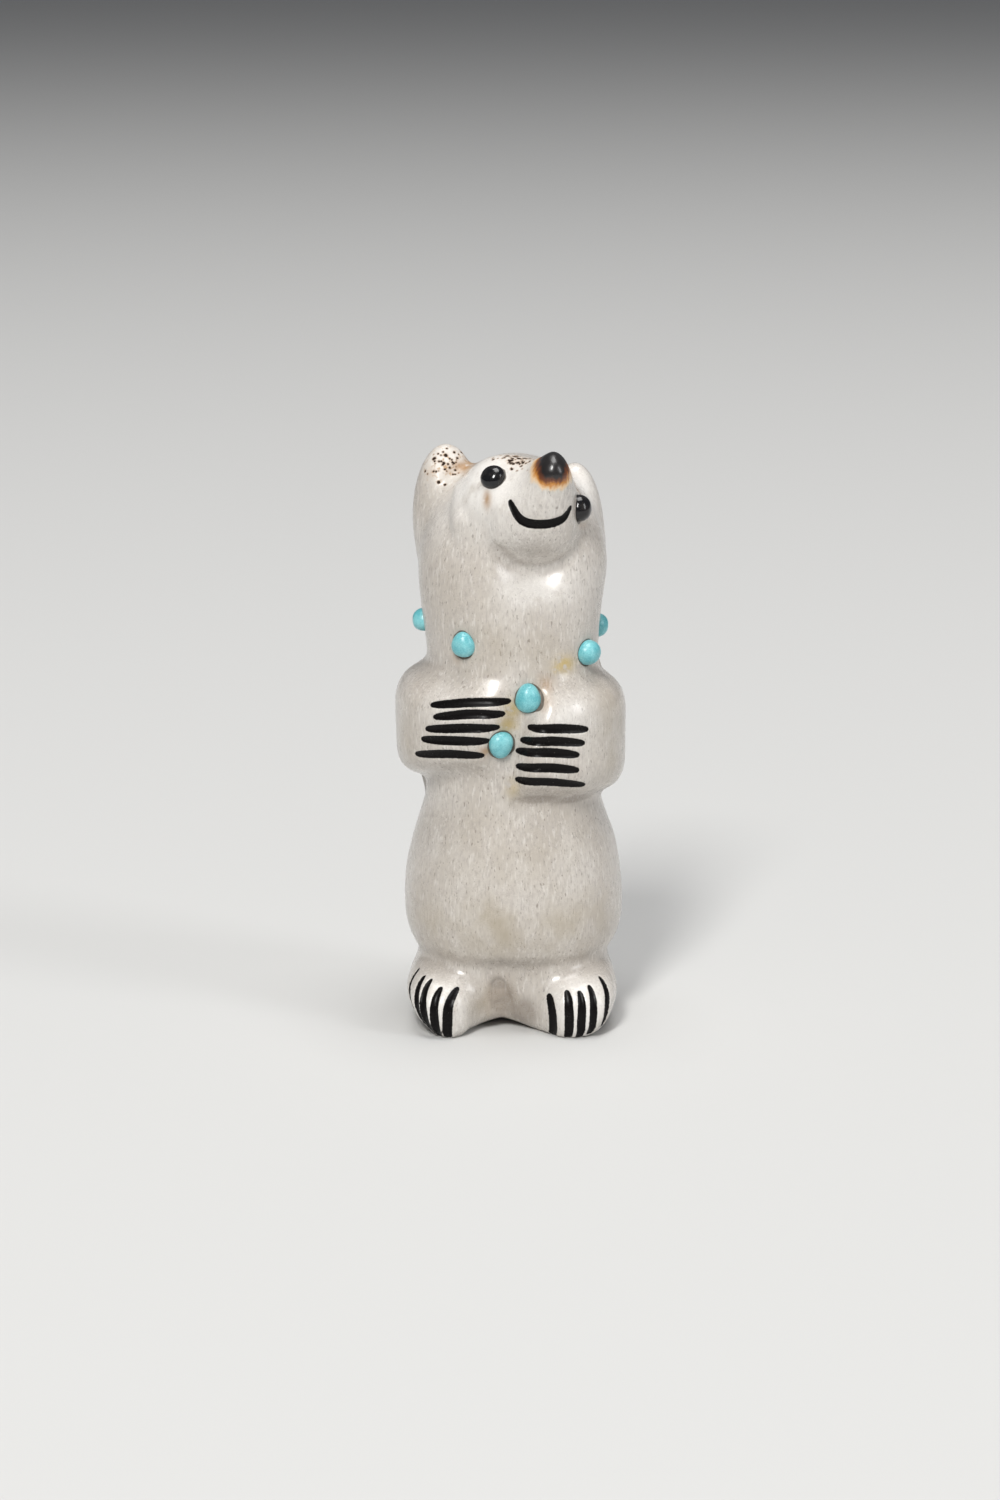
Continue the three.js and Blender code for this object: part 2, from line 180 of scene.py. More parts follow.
# %% The arms and feet
ARMS = [
    {
        "side": -1,
        "top": [[-20, 34.4], [30, 34.6], [90, 34.8], [180, 34.8]],
        "bottom": [[-20, 26.4], [15, 26.3], [45, 25.7], [90, 24.1], [180, 24.1]],
        "end": [[26, 12], [28, 10], [34, -4], [36, -8]],
        "proud": (1.4, 2.8),
    },
    {
        "side": 1,
        "top": [[-20, 29.8], [4, 31.2], [22, 34.0], [60, 34.4], [90, 34.0], [180, 34.0]],
        "bottom": [[-20, 24.1], [15, 23.9], [45, 23.5], [90, 22.7], [180, 22.5]],
        "end": [[22, 1], [36, 3]],
        "proud": (1.9, 2.4),
    },
]
ARM_TOP_EDGE = 3.4
ARM_EDGE = 3.1
ARM_SWELLS = (10, 80)  # the turns between which it grows to the thickness of the elbow
ARM_FADES = (100, 175)  # and those between which it thins out again at the back
ARM_FADE = 0.75
FEET = [
    {"at": (-6.35, -2.4, 1.9), "radii": (4.1, 8.5, 4.4), "power": 2.55, "turn": -6},
    {"at": (5.75, -2.4, 1.9), "radii": (4.45, 8.5, 4.4), "power": 2.55, "turn": 8},
]
ARCH = {"at": (-1.1, -9.0, -1.0), "radii": (5.2, 7, 2.5), "power": 1.3}
print("arms:", len(ARMS), "feet:", len(FEET))

# %% [markdown]
# ### The head
#
# The bear looks up and to the right, as seen from the front. The crown is a large dome that rounds
# off the top of the trunk, the brow is an egg on its front, and the muzzle and chin are two rods
# that taper toward the nose. The throat is scooped out under them. Each ear is an egg with a flat
# front face. Eggs and rods melt into each other well, so no edge shows where they meet.

# %% The head
CROWN = {"at": (0.2, 1.5, 36), "radii": (11.8, 13, 19.4)}
BROW = {"at": (-1.3, -3.0, 50.6), "radii": (4.2, 4.3, 5.2)}
EARS = [
    ({"at": (-6.5, 3.4, 49), "radii": (3.3, 3.4, 7.1)}, (-6.4, 0.6, 53), (0.25, -0.8, 0.55)),
    ({"at": (6.0, 3.6, 47), "radii": (2.9, 3.4, 7.2)}, (5.8, 0.8, 52), (-0.15, -0.8, 0.55)),
]
MUZZLE = ((1.6, -3.6, 50.2), (3.7, -8.2, 55.3), (4.6, 1.65))
CHIN = ((2.0, -5.6, 49.7), (3.65, -8.8, 55.0), (4.05, 1.55))
SCOOP = {"at": (2.9, -9.5, 47.8), "radii": (6.0, 3.6, 5.3)}
print("the muzzle points", np.round(np.subtract(MUZZLE[1], MUZZLE[0]), 1))

# %% [markdown]
# ### The last strokes of the file
#
# These forms are too small for the solid model and are found in this skin alone. Two flat flanks
# and a ridge between them shape the tip of the nose. Two soft folds run down the cheek behind the
# left eye and one beside the muzzle. The chin is flat below. A hollow with a narrow crease parts
# the feet, and the toes are bevelled toward the ground. Rods make the folds and the crease, and
# flat planes the rest, because that is how a round and a flat file leave them.

# %% The finer forms
NOSE_PLANES = [
    ((3.7, -8.2, 55.3), (-0.80, -0.45, 0.40), 0.98),
    ((3.7, -8.2, 55.3), (0.86, -0.40, 0.31), 1.04),
]
NOSE_RIDGE = ((3.45, -8.66, 56.2), (3.6, -9.86, 54.22), (0.55, 0.42))
CHEEK_RIDGES = [
    ((-4.7, -2.6, 52.5), (-4.6, -5.05, 49.6), (0.8, 0.9)),
    ((-4.6, -5.05, 49.6), (-4.1, -5.9, 47.0), (0.9, 0.4)),
    ((-1.1, -7.5, 51.4), (-1.2, -7.4, 49.0), (0.55, 0.65)),
]
CHIN_UNDER = ((2.5, -9.75, 49.9), (0.05, -0.84, -0.54))
BETWEEN_FEET = [
    ((-0.95, -10.0, -0.5), (-1.3, -9.7, 5.9), (2.6, 1.1)),
    ((-0.6, -8.1, 0.4), (-1.4, -7.6, 4.6), (0.8, 0.3)),
]
TOE_BEVELS = [
    ((-6.4, -11.0, -0.4), (-0.64, -0.21, -0.74)),
    ((5.9, -10.9, -0.3), (0.43, -0.26, -0.86)),
    ((-10.3, -3.0, 1.9), (-0.90, -0.10, -0.42)),
    ((10.15, -3.0, 1.9), (0.90, -0.10, -0.42)),
]
print("finer forms:", len(NOSE_PLANES) + len(CHEEK_RIDGES) + len(BETWEEN_FEET) + len(TOE_BEVELS) + 2)

# %% [markdown]
# ## The form, as a distance
#
# Each shape answers one question: how far is this point from my surface, with inside counted as
# negative. A smooth minimum of two answers melts two shapes together, as a carver's file does, and
# a smooth maximum cuts one by the other.


# %% Melt and cut
def join(a, b, soft):
    """The smaller of two distances, with a fillet where they meet."""
    h = np.maximum(soft - np.abs(a - b), 0) / soft
    return np.minimum(a, b) - h * h * soft / 4


def cut(a, b, soft):
    """The larger of two distances, with a rounded edge where they meet."""
    return -join(-a, -b, soft)


def smoothstep(x, low, high):
    """A soft step from 0 at the low place to 1 at the high one."""
    t = np.clip((x - low) / (high - low), 0, 1)
    return t * t * (3 - 2 * t)


print("two equal distances of 1 mm melt to", join(1.0, 1.0, 2.0), "mm")


# %% Read a curve through a table
def follow(points, at, column=1):
    """A smooth curve through rows of [place, value, ...], read at many places at once."""
    rows = np.asarray(points, float)
    place, value = rows[:, 0], rows[:, column]
    before = np.maximum(np.arange(len(rows)) - 1, 0)
    after = np.minimum(np.arange(len(rows)) + 1, len(rows) - 1)
    slope = (value[after] - value[before]) / (place[after] - place[before])
    at = np.clip(at, place[0], place[-1])
    i = np.clip(np.searchsorted(place, at, side="left") - 1, 0, len(rows) - 2)
    step = place[i + 1] - place[i]
    t = (at - place[i]) / step
    t2, t3 = t * t, t * t * t
    return (
        (2 * t3 - 3 * t2 + 1) * value[i]
        + (t3 - 2 * t2 + t) * slope[i] * step
        + (3 * t2 - 2 * t3) * value[i + 1]
        + (t3 - t2) * slope[i + 1] * step
    )


print("half width low on the belly, mm:", np.round(follow(COLUMN, np.array([12.0])), 2))


# %% The simple shapes
def egg(p, at, radii, power=2.0, turn=0.0):
    """An ellipsoid, or a squarer one where the power is over 2."""
    d = p - np.array(at, float)
    c, s = math.cos(math.radians(turn)), math.sin(math.radians(turn))
    q = np.abs(np.stack([
        (d[:, 0] * c + d[:, 1] * s) / radii[0],
        (d[:, 1] * c - d[:, 0] * s) / radii[1],
        d[:, 2] / radii[2],
    ], axis=1))
    size = np.maximum((q**power).sum(axis=1) ** (1 / power), 1e-3)
    steep = np.sqrt(((q ** (power - 1) / np.array(radii)) ** 2).sum(axis=1)) / size ** (power - 1)
    return (size - 1) / np.maximum(steep, 1e-6)


def past(p, at, out):
    """How far points lie past a flat face, along the way out of it."""
    return (p - np.array(at)) @ (np.array(out) / np.linalg.norm(out))


def tapered_rod(p, start, end, thick):
    """A rod with round ends of two sizes."""
    axis = np.array(end, float) - np.array(start, float)
    length = np.linalg.norm(axis)
    away = p - np.array(start, float)
    along = away @ axis / length
    aside = np.sqrt(np.maximum((away**2).sum(axis=1) - along**2, 0))
    slope = (thick[0] - thick[1]) / length
    foot = np.clip(along - aside * slope / math.sqrt(1 - slope * slope), 0, length)
    return np.hypot(along - foot, aside) - (thick[0] - slope * foot)


above = np.array([[0.0, 0.0, 9.0]])
print("a rod 5 mm tall with 1 mm ends is", tapered_rod(above, (0, 0, 0), (0, 0, 5), (1, 1)), "mm away")


# %% The trunk and the arms
def trunk(p):
    """The column, measured along a level line to its middle."""
    x, y, z = p.T
    wide = np.where(x < 0, follow(COLUMN, z, 1), follow(COLUMN, z, 2))
    deep = np.where(y < 0, follow(COLUMN, z, 3), follow(COLUMN, z, 4))
    share = np.abs(x / wide) ** SECTION_POWER + np.abs(y / deep) ** SECTION_POWER
    share = share ** (1 / SECTION_POWER)
    return np.where(share < 1e-6, -wide, np.hypot(x, y) * (1 - 1 / np.maximum(share, 1e-6)))


def arm(p, body, side, top, bottom, end, proud):
    """A slab that stands proud of the trunk between two edges that run round it."""
    x, y, z = p.T
    turn = np.degrees(np.arctan2(side * x, -y))
    turn = np.where(turn < -90, turn + 360, turn)
    thick = proud[0] + (proud[1] - proud[0]) * smoothstep(turn, *ARM_SWELLS)
    fade = 1 - smoothstep(turn, *ARM_FADES) * ARM_FADE
    above = z - follow(top, turn)
    below = follow(bottom, turn) - z
    beyond = np.radians(follow(end, z) - turn) * np.maximum(np.hypot(x, y), 4)
    slab = cut(body - thick * fade, above, ARM_TOP_EDGE)
    return cut(slab, cut(below, beyond, 1), ARM_EDGE)


print("from 20 mm in front to the trunk, mm:", np.round(trunk(np.array([[0.0, -20.0, 15.0]])), 2))

# %% [markdown]
# ### The whole figure
#
# The shapes are joined in a carver's order, from the trunk to the last bevel. Each joint has a
# fillet of its own: a wide one where an arm flows into the trunk, a narrow one where a line has to
# stay crisp. So a single number makes a joint softer or sharper, which a mesh wouldn't allow.


# %% The whole figure
FILLETS = {
    "crown": 3, "brow": 1.5, "throat": 0.8, "ear": 1.0, "ear face": 1.0, "nose flank": 0.7,
    "chin": 1.2, "nose ridge": 0.5, "under the chin": 1.4, "cheek": 0.9, "foot": 2.2,
    "between the feet": 1.3, "toe": 1.0, "arch": 0.8, "sole": 0.3,
}


def form(p):
    """The distance of each point from the carved figure, in millimetres."""
    p = p / SCALE
    z = p[:, 2]
    core = trunk(p)
    raised = np.column_stack([p[:, 0], p[:, 1], np.maximum(z, CROWN["at"][2])])
    body = cut(core, egg(raised, **CROWN), FILLETS["crown"])
    body = join(body, egg(p, **BROW), FILLETS["brow"])
    body = cut(body, -egg(p, **SCOOP), FILLETS["throat"])
    for shape, at, out in EARS:
        ear = cut(egg(p, **shape), past(p, at, out), FILLETS["ear face"])
        body = join(body, ear, FILLETS["ear"])
    muzzle = tapered_rod(p, *MUZZLE)
    for at, out, reach in NOSE_PLANES:
        muzzle = cut(muzzle, past(p, at, out) - reach, FILLETS["nose flank"])
    muzzle = join(muzzle, tapered_rod(p, *CHIN), FILLETS["chin"])
    muzzle = join(muzzle, tapered_rod(p, *NOSE_RIDGE), FILLETS["nose ridge"])
    muzzle = cut(muzzle, past(p, *CHIN_UNDER), FILLETS["under the chin"])
    body = join(body, muzzle, 0.8 + 2.2 * smoothstep(z, 48, 53))  # wider above the eyes
    for ridge in CHEEK_RIDGES:
        body = join(body, tapered_rod(p, *ridge), FILLETS["cheek"])
    arms = np.minimum(arm(p, core, **ARMS[0]), arm(p, core, **ARMS[1]))
    body = join(body, arms, 1.1 + 0.5 * smoothstep(z, 30, 34))  # wider at the top edge
    for foot in FEET:
        body = join(body, egg(p, **foot), FILLETS["foot"])
    for hollow in BETWEEN_FEET:
        body = cut(body, -tapered_rod(p, *hollow), FILLETS["between the feet"])
    for at, out in TOE_BEVELS:
        body = cut(body, past(p, at, out), FILLETS["toe"])
    body = cut(body, -egg(p, **ARCH), FILLETS["arch"])
    return SCALE * cut(body, -z, FILLETS["sole"])


test = np.array([[0, -20, 15], [0, 0, 15], [-6, -11, 1]], float)
print("distances at three test points, mm:", np.round(form(test), 2))

# %% Move points onto the form
PROBE = 0.02
LONGEST_MOVE = 0.3


def way_out(p):
    """The direction in which the distance grows fastest."""
    moves = np.eye(3) * PROBE
    out = np.column_stack([form(p + m) - form(p - m) for m in moves]) / (2 * PROBE)
    return out / np.maximum(np.linalg.norm(out, axis=1), 1e-9)[:, None]


def settle(p, rounds):
    """Moves points onto the surface."""
    for _ in range(rounds):
        p = p - np.clip(form(p), -LONGEST_MOVE, LONGEST_MOVE)[:, None] * way_out(p)
    return p


near = np.array([[0, -10.0, 15]])
print("a point that settles ends", np.round(form(settle(near, 6)), 4), "mm from the form")

# %% [markdown]
# ## Where things sit on the skin
#
# The eyes and stones were set into drilled seats, and the cuts run over the curved skin. All of
# them are placed by a turn round the figure, in degrees from the front, and a height, as they can
# be read from the photograph. Each place is found by walking in along a level line until the skin
# is met, which works for any form that can say how far away it is. Left and right in the names are
# as seen from the front.

# %% Where the eyes and stones sit
EYES = {
    "eye_left": {"turn": -17.5, "height": 54.3, "wide": 2.5, "tall": 2.35, "rise": 0.85},
    "eye_right": {"turn": 47.8, "height": 51.2, "wide": 2.6, "tall": 2.65, "rise": 1.15},
}
STONES = {
    "stone_chest": {"turn": 9, "height": 33.4, "wide": 2.6, "tall": 2.7, "rise": 1.05},
    "stone_between_paws": {"turn": -7.5, "height": 29, "wide": 2.5, "tall": 2.6, "rise": 1.0},
    "stone_front_left": {"turn": -32.5, "height": 38.35, "wide": 2.3, "tall": 2.55, "rise": 0.95},
    "stone_front_right": {"turn": 54.5, "height": 37.15, "wide": 2.8, "tall": 2.5, "rise": 1.25},
    "stone_side_left": {"turn": -95, "height": 39.2, "wide": 2.3, "tall": 2.35, "rise": 1.1},
    "stone_side_right": {"turn": 104, "height": 38.4, "wide": 2.3, "tall": 2.35, "rise": 1.1},
    "stone_back_left": {"turn": -150, "height": 39.4, "wide": 2.35, "tall": 2.45, "rise": 1.0},
    "stone_back_right": {"turn": 152, "height": 39.0, "wide": 2.4, "tall": 2.4, "rise": 1.0},
}
print(len(EYES), "eyes and", len(STONES), "stones")

# %% Find places on the skin
WALK_FROM = 16.0
WALK_SHARE = 0.6  # of the distance, at each step, so that no step goes through the skin
WALK_STEPS = 90


def on_skin(turn, height):
    """Points on the skin, and the way out there, for turns in degrees and heights."""
    turn, z = np.atleast_1d(np.radians(turn)), np.atleast_1d(np.asarray(height, float)) * SCALE
    reach = np.full(len(turn), WALK_FROM * SCALE)
    for _ in range(WALK_STEPS):
        reach -= WALK_SHARE * form(np.column_stack([np.sin(turn) * reach, -np.cos(turn) * reach, z]))
    p = np.column_stack([np.sin(turn) * reach, -np.cos(turn) * reach, z])
    return p, way_out(p)


seats = {}
for name, stone in {**EYES, **STONES}.items():
    at, out = on_skin(stone["turn"], stone["height"])
    seats[name] = {**stone, "at": at[0], "out": out[0]}
print("the left eye is at", np.round(seats["eye_left"]["at"], 2))

# %% [markdown]
# ## The cuts
#
# Ten claws on the paws, ten on the toes and the mouth were cut with a graver: a groove that swells
# from a point to its full width and thins out again. Those of the toes run off the edge of the
# foot and are still wide there. Each cut is a width and a smooth line through a few places on the
# skin, kept as [turn, height], because the depth and the filling both depend on how far it is.

# %% Where the cuts run
CLAW_WIDTH = 0.95
MOUTH_WIDTH = 1.0
CUT_DEPTH = 0.2
MOUTH = [[-2.5, 52.4], [4.5, 50.7], [15.5, 50.3], [27, 50.7], [33.2, 51.8]]
PAW_CLAWS = [
    [[-44.5, 32.6], [-24, 33.15], [-2, 33.3]],
    [[-42, 31.5], [-23, 32.1], [-5, 32.1]],
    [[-47, 30.2], [-26, 30.7], [-8, 30.8]],
    [[-50, 29.1], [-30.5, 29.4], [-13.5, 29.5]],
    [[-55.5, 27.4], [-33.5, 28], [-16.5, 28]],
    [[8.5, 30.8], [22, 30.8], [38.5, 30.4]],
    [[4.5, 29.5], [19.5, 29.6], [36.5, 29.1]],
    [[2, 28.4], [17.5, 28.5], [33.5, 28]],
    [[2, 26.9], [17, 27], [33.5, 26.5]],
    [[1.5, 25.6], [19, 25.5], [39, 24.8]],
]
TOE_CLAWS = [
    (0.72, [[-59.7, 5.6], [-57.0, 4.5], [-52.4, 3.4], [-49.6, 2.4]]),
    (0.80, [[-49.1, 5.5], [-45.4, 3.8], [-43.2, 2.3], [-41.7, 0.8]]),
    (0.84, [[-43.6, 5.4], [-40.9, 3.5], [-39.4, 2.0], [-38.6, 0.4]]),
    (0.90, [[-36.4, 4.9], [-35.7, 3.2], [-35.1, 1.5], [-35.2, 0.2]]),
    (1.02, [[-30.0, 4.8], [-30.3, 3.2], [-30.3, 1.6], [-30.9, 0.2]]),
    (1.12, [[20.8, 4.0], [20.9, 2.7], [21.2, 1.3], [21.6, 0.2]]),
    (0.96, [[28.0, 4.6], [26.8, 3.2], [26.6, 1.8], [26.8, 0.2]]),
    (0.88, [[33.1, 4.6], [31.9, 3.2], [31.3, 1.7], [31.6, 0.2]]),
    (0.80, [[38.8, 5.0], [36.9, 3.5], [36.1, 2.0], [35.9, 0.5]]),
    (0.76, [[48.2, 5.4], [45.5, 4.1], [43.4, 2.9], [41.8, 1.2]]),
]
print("cuts:", 1 + len(PAW_CLAWS) + len(TOE_CLAWS))


# %% Draw the cuts on the skin
CUT_STEPS = 24
CUT_FULLNESS = 0.6  # less swells faster from the point
THINNEST = 0.05
RUN_OFF = 0.75  # the part of the swelling that a toe claw goes through


def spline(points, share):
    """A smooth line through points, read at shares of its length from 0 to 1."""
    points = np.asarray(points, float)
    last = len(points) - 1
    place = np.clip(share, 0, 1) * last
    i = np.minimum(place.astype(int), last - 1)
    t = (place - i)[:, None]
    a, b = points[np.maximum(i - 1, 0)], points[i]
    c, d = points[i + 1], points[np.minimum(i + 2, last)]
    v0, v1 = (c - a) / 2, (d - b) / 2
    return (2 * b - 2 * c + v0 + v1) * t**3 + (-3 * b + 3 * c - 2 * v0 - v1) * t**2 + v0 * t + b


def graver_line(points, width, runs_off):
    """A cut as points on the skin, with the half width at each."""
    sweep = np.linspace(0, 1, CUT_STEPS + 1) * math.pi * (RUN_OFF if runs_off else 1.0)
    share = (1 - np.cos(sweep)) / (1 - math.cos(sweep[-1]))
    path = spline(points, share)
    at, _ = on_skin(path[:, 0], path[:, 1])
    return at, np.maximum(np.sin(sweep), THINNEST) ** CUT_FULLNESS * width / 2


graver_lines = [graver_line(MOUTH, MOUTH_WIDTH, False)]
graver_lines += [graver_line(line, CLAW_WIDTH, False) for line in PAW_CLAWS]
graver_lines += [graver_line(line, width, True) for width, line in TOE_CLAWS]
mouth_steps = np.linalg.norm(np.diff(graver_lines[0][0], axis=0), axis=1)
print("the mouth is", round(float(mouth_steps.sum()), 2), "mm long")

# %% [markdown]
# ## A fine skin for the body
#
# The solid model's mesh is coarse, with a hole drilled for every stone. A copy of it is merged, the
# holes are plugged, and a voxel remesh wraps the whole in small even faces. Each point is then moved
# onto the carved form. A remesh suits a carved lump better than a subdivision surface, because it
# needs no tidy cage.

# %% Copy the body and plug the seats
FACE = 0.3
PLUG_RADIUS, PLUG_LENGTH, PLUG_SUNK = 1.95, 1.7, 0.95


def oriented(place, out):
    """A matrix that stands a shape on a place with its Z axis pointing out."""
    turn = Vector(out).to_track_quat("Z", "Y").to_matrix().to_4x4()
    return Matrix.Translation(Vector(place)) @ turn


bm = bmesh.new()
bm.from_mesh(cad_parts["bear"].data)
bmesh.ops.remove_doubles(bm, verts=bm.verts, dist=1e-7)
bmesh.ops.scale(bm, vec=(1 / MM,) * 3, verts=bm.verts)
for seat in seats.values():
    matrix = oriented(seat["at"] - seat["out"] * PLUG_SUNK, seat["out"])
    both_ends = {"radius1": PLUG_RADIUS, "radius2": PLUG_RADIUS, "depth": PLUG_LENGTH}
    bmesh.ops.create_cone(bm, cap_ends=True, segments=24, matrix=matrix, **both_ends)
plugged = bpy.data.meshes.new("plugged_body")
bm.to_mesh(plugged)
bm.free()
print("faces in the plugged copy:", len(plugged.polygons))

# %% Remesh it
lump = new_object("rough_body", plugged)
wrap = lump.modifiers.new("wrap", "REMESH")
wrap.mode = "VOXEL"
wrap.voxel_size = FACE
bpy.context.view_layer.update()
graph = bpy.context.evaluated_depsgraph_get()
skin_mesh = bpy.data.meshes.new_from_object(lump.evaluated_get(graph))
bpy.data.objects.remove(lump)
print("faces after the remesh:", len(skin_mesh.polygons))


# %% Read and write points
def points_of(mesh):
    """The points of a mesh as rows of x, y and z."""
    flat = np.empty(len(mesh.vertices) * 3)
    mesh.vertices.foreach_get("co", flat)
    return flat.reshape(-1, 3)


def put_points(mesh, points):
    """Moves the points of a mesh to new places."""
    mesh.vertices.foreach_set("co", np.ascontiguousarray(points, dtype=np.float32).ravel())
    mesh.update()


put_points(skin_mesh, settle(points_of(skin_mesh), 6))
worst = np.abs(form(points_of(skin_mesh))).max()
print("the skin's worst point is", round(float(worst), 3), "mm from the form")

# %% [markdown]
# ## How near is each point to a cut?
#
# One number for each point of the skin, the distance to the edge of the nearest cut, does three
# jobs: it says where the faces must be finer, how deep the graver went, and where the black filling
# ends.


# %% Measure the distance to the cuts
FAR = 9.0  # for points with nothing near them
AROUND_CUT = 1.5  # points beyond this are passed over
BOTTOM_FULLNESS = 0.6  # less is a flatter bottom with steeper sides


def cut_edge(points):
    """For each point, the distance to the nearest cut's edge, and that cut's depth there."""
    edge = np.full(len(points), FAR)
    depth = np.zeros(len(points))
    for line, half in graver_lines:
        low, high = line.min(axis=0) - AROUND_CUT, line.max(axis=0) + AROUND_CUT
        near = np.flatnonzero(np.all((points > low) & (points < high), axis=1))
        if not len(near):
            continue
        a, b = line[:-1], line[1:]
        along = b - a
        away = points[near][:, None, :] - a[None]
        t = np.clip((away * along).sum(axis=2) / np.maximum((along**2).sum(axis=1), 1e-9), 0, 1)
        reach = np.linalg.norm(away - t[..., None] * along, axis=2)
        width = half[:-1] + t * (half[1:] - half[:-1])
        best = np.argmin(reach - width, axis=1)
        rows = np.arange(len(near))
        here = (reach - width)[rows, best]
        deep = CUT_DEPTH * width[rows, best] / half.max()
        hollow = np.clip(1 - (reach[rows, best] / width[rows, best]) ** 2, 0, 1)
        deep *= hollow**BOTTOM_FULLNESS
        closer = here < edge[near]
        edge[near[closer]] = here[closer]
        depth[near] = np.maximum(depth[near], deep)
    return edge, depth


print("points inside a cut:", int((cut_edge(points_of(skin_mesh))[0] < 0).sum()))

# %% Measure the distance to the stones
AROUND_SEAT = 2.5


def stone_edge(points):
    """For each point, the distance to the rim of the nearest stone."""
    edge = np.full(len(points), FAR)
    for seat in seats.values():
        across, upward = np.array(oriented(seat["at"], seat["out"]).to_3x3()).T[:2]
        away = points - seat["at"]
        reach = np.hypot(away @ across, away @ upward * seat["wide"] / seat["tall"]) - seat["wide"] / 2
        edge = np.where(np.abs(away @ seat["out"]) < AROUND_SEAT, np.minimum(edge, reach), edge)
    return edge


print("points under a stone:", int((stone_edge(points_of(skin_mesh)) < 0).sum()))

# %% [markdown]
# ## Pits
#
# On the front of the tall ear and along the brow, the polish has opened the spongy inside of the
# antler: small dark holes, close together. They are scattered here with a fixed seed over those
# places and one beside the right ear, and the largest ones sit where the photograph shows them.
# They are real hollows in the mesh, because light has to fall into the large ones.

# %% Scatter the pits
# Each zone: its middle, its spread in x, y and z, and the number of small pits in it.
PIT_ZONES = [
    ((-6.5, 1.5, 54.3), (3.0, 2.2, 2.4), 46),
    ((0.4, -4.3, 55.8), (2.2, 3.0, 0.6), 84),
    ((5.6, -2.6, 53.3), (1.0, 1.0, 1.4), 12),
]
CHOSEN_PITS = [
    (-6.5, 2.2, 55.1), (-7.6, 2.1, 54.8), (-5.4, 2.4, 54.8), (-6.7, 1.7, 54.4), (-7.2, 0.7, 52.7),
    (-6.6, 0.5, 52.5), (-0.6, -3.6, 55.9), (-0.3, -4.8, 55.7), (0.2, -3.8, 55.8), (0.6, -4.5, 55.8),
    (1.1, -4.4, 55.8), (0.0, -5.4, 55.4), (0.4, -5.4, 55.6), (0.9, -5.6, 55.6), (1.5, -4.4, 55.7),
    (5.7, -7.0, 54.3), (6.1, -3.9, 52.8), (6.3, -3.5, 52.6), (6.5, -3.3, 52.2), (6.0, -3.2, 53.2),
]
CHOSEN_SIZES = [
    0.2, 0.17, 0.14, 0.15, 0.17, 0.14, 0.24, 0.26, 0.3, 0.28,
    0.3, 0.16, 0.19, 0.18, 0.26, 0.18, 0.2, 0.17, 0.15, 0.16,
]
SMALLEST_PIT, LARGEST_PIT = 0.05, 0.14
SCATTER = 0.45  # of the spread, as a standard deviation
pit_places, pit_sizes = [np.array(p) for p in CHOSEN_PITS], list(CHOSEN_SIZES)
seeded = np.random.default_rng(11)
for centre, spread, count in PIT_ZONES:
    loose = np.array(centre) + seeded.normal(0, SCATTER, (count, 3)) * np.array(spread)
    pit_places += list(settle(loose, 12))
    pit_sizes += list(seeded.uniform(SMALLEST_PIT, LARGEST_PIT, count))
pit_places = settle(np.array(pit_places), 12)
pit_sizes = np.array(pit_sizes)
print(len(pit_places), "pits")

# %% Measure the distance to the pits
AROUND_PIT = 1.2
PIT_DEPTH = 0.8  # as a share of its radius


def pit_edge(points):
    """For each point, the distance to the rim of the nearest pit, and how deep the pit is there."""
    edge = np.full(len(points), FAR)
    depth = np.zeros(len(points))
    for place, size in zip(pit_places, pit_sizes):
        near = np.flatnonzero(np.all(np.abs(points - place) < AROUND_PIT, axis=1))
        away = np.linalg.norm(points[near] - place, axis=1)
        edge[near] = np.minimum(edge[near], away - size)
        depth[near] = np.maximum(depth[near], PIT_DEPTH * size * np.clip(1 - (away / size) ** 2, 0, 1))
    return edge, depth


print("deepest pit, mm:", round(PIT_DEPTH * float(pit_sizes.max()), 2))

# %% [markdown]
# ## Finer faces where they are needed
#
# Faces of 0.3 mm are small enough for the smooth body, but a claw's edge or a pit needs smaller
# ones. Only the faces near those, near the stones and at the tip of the nose are split, so the
# mesh stays light.

# %% Split the faces near the cuts, stones, pits and nose
NOSE_TIP, NOSE_REACH = (3.6, -9.3, 55.6), 2.2
NEAR_CUT, NEAR_STONE, NEAR_PIT, AT_PIT = 0.3, 0.4, 0.4, 0.15


def finer(mesh, chosen):
    """Splits the faces that hold a chosen point, and moves the new points onto the form."""
    bm = bmesh.new()
    bm.from_mesh(mesh)
    bm.verts.ensure_lookup_table()
    faces = {face for i in np.flatnonzero(chosen) for face in bm.verts[i].link_faces}
    edges = list({edge for face in faces for edge in face.edges})
    bmesh.ops.subdivide_edges(bm, edges=edges, cuts=1, use_grid_fill=True)
    bm.to_mesh(mesh)
    bm.free()
    put_points(mesh, settle(points_of(mesh), 3))


here = points_of(skin_mesh)
chosen = np.linalg.norm(here - np.array(NOSE_TIP), axis=1) < NOSE_REACH
chosen |= np.abs(stone_edge(here)) < NEAR_STONE
chosen |= (cut_edge(here)[0] < NEAR_CUT) | (pit_edge(here)[0] < NEAR_PIT)
finer(skin_mesh, chosen)
finer(skin_mesh, pit_edge(points_of(skin_mesh))[0] < AT_PIT)
print("faces after refining:", len(skin_mesh.polygons))

# %% [markdown]
# ## Cut the claws, the mouth and the pits
#
# Every point moves straight in, against the way out of the form, by the depth found above. The
# cuts are real hollows and no picture on the surface, so their edges catch the light. The seat of
# each stone gets a shallow moat, where the glue line runs.

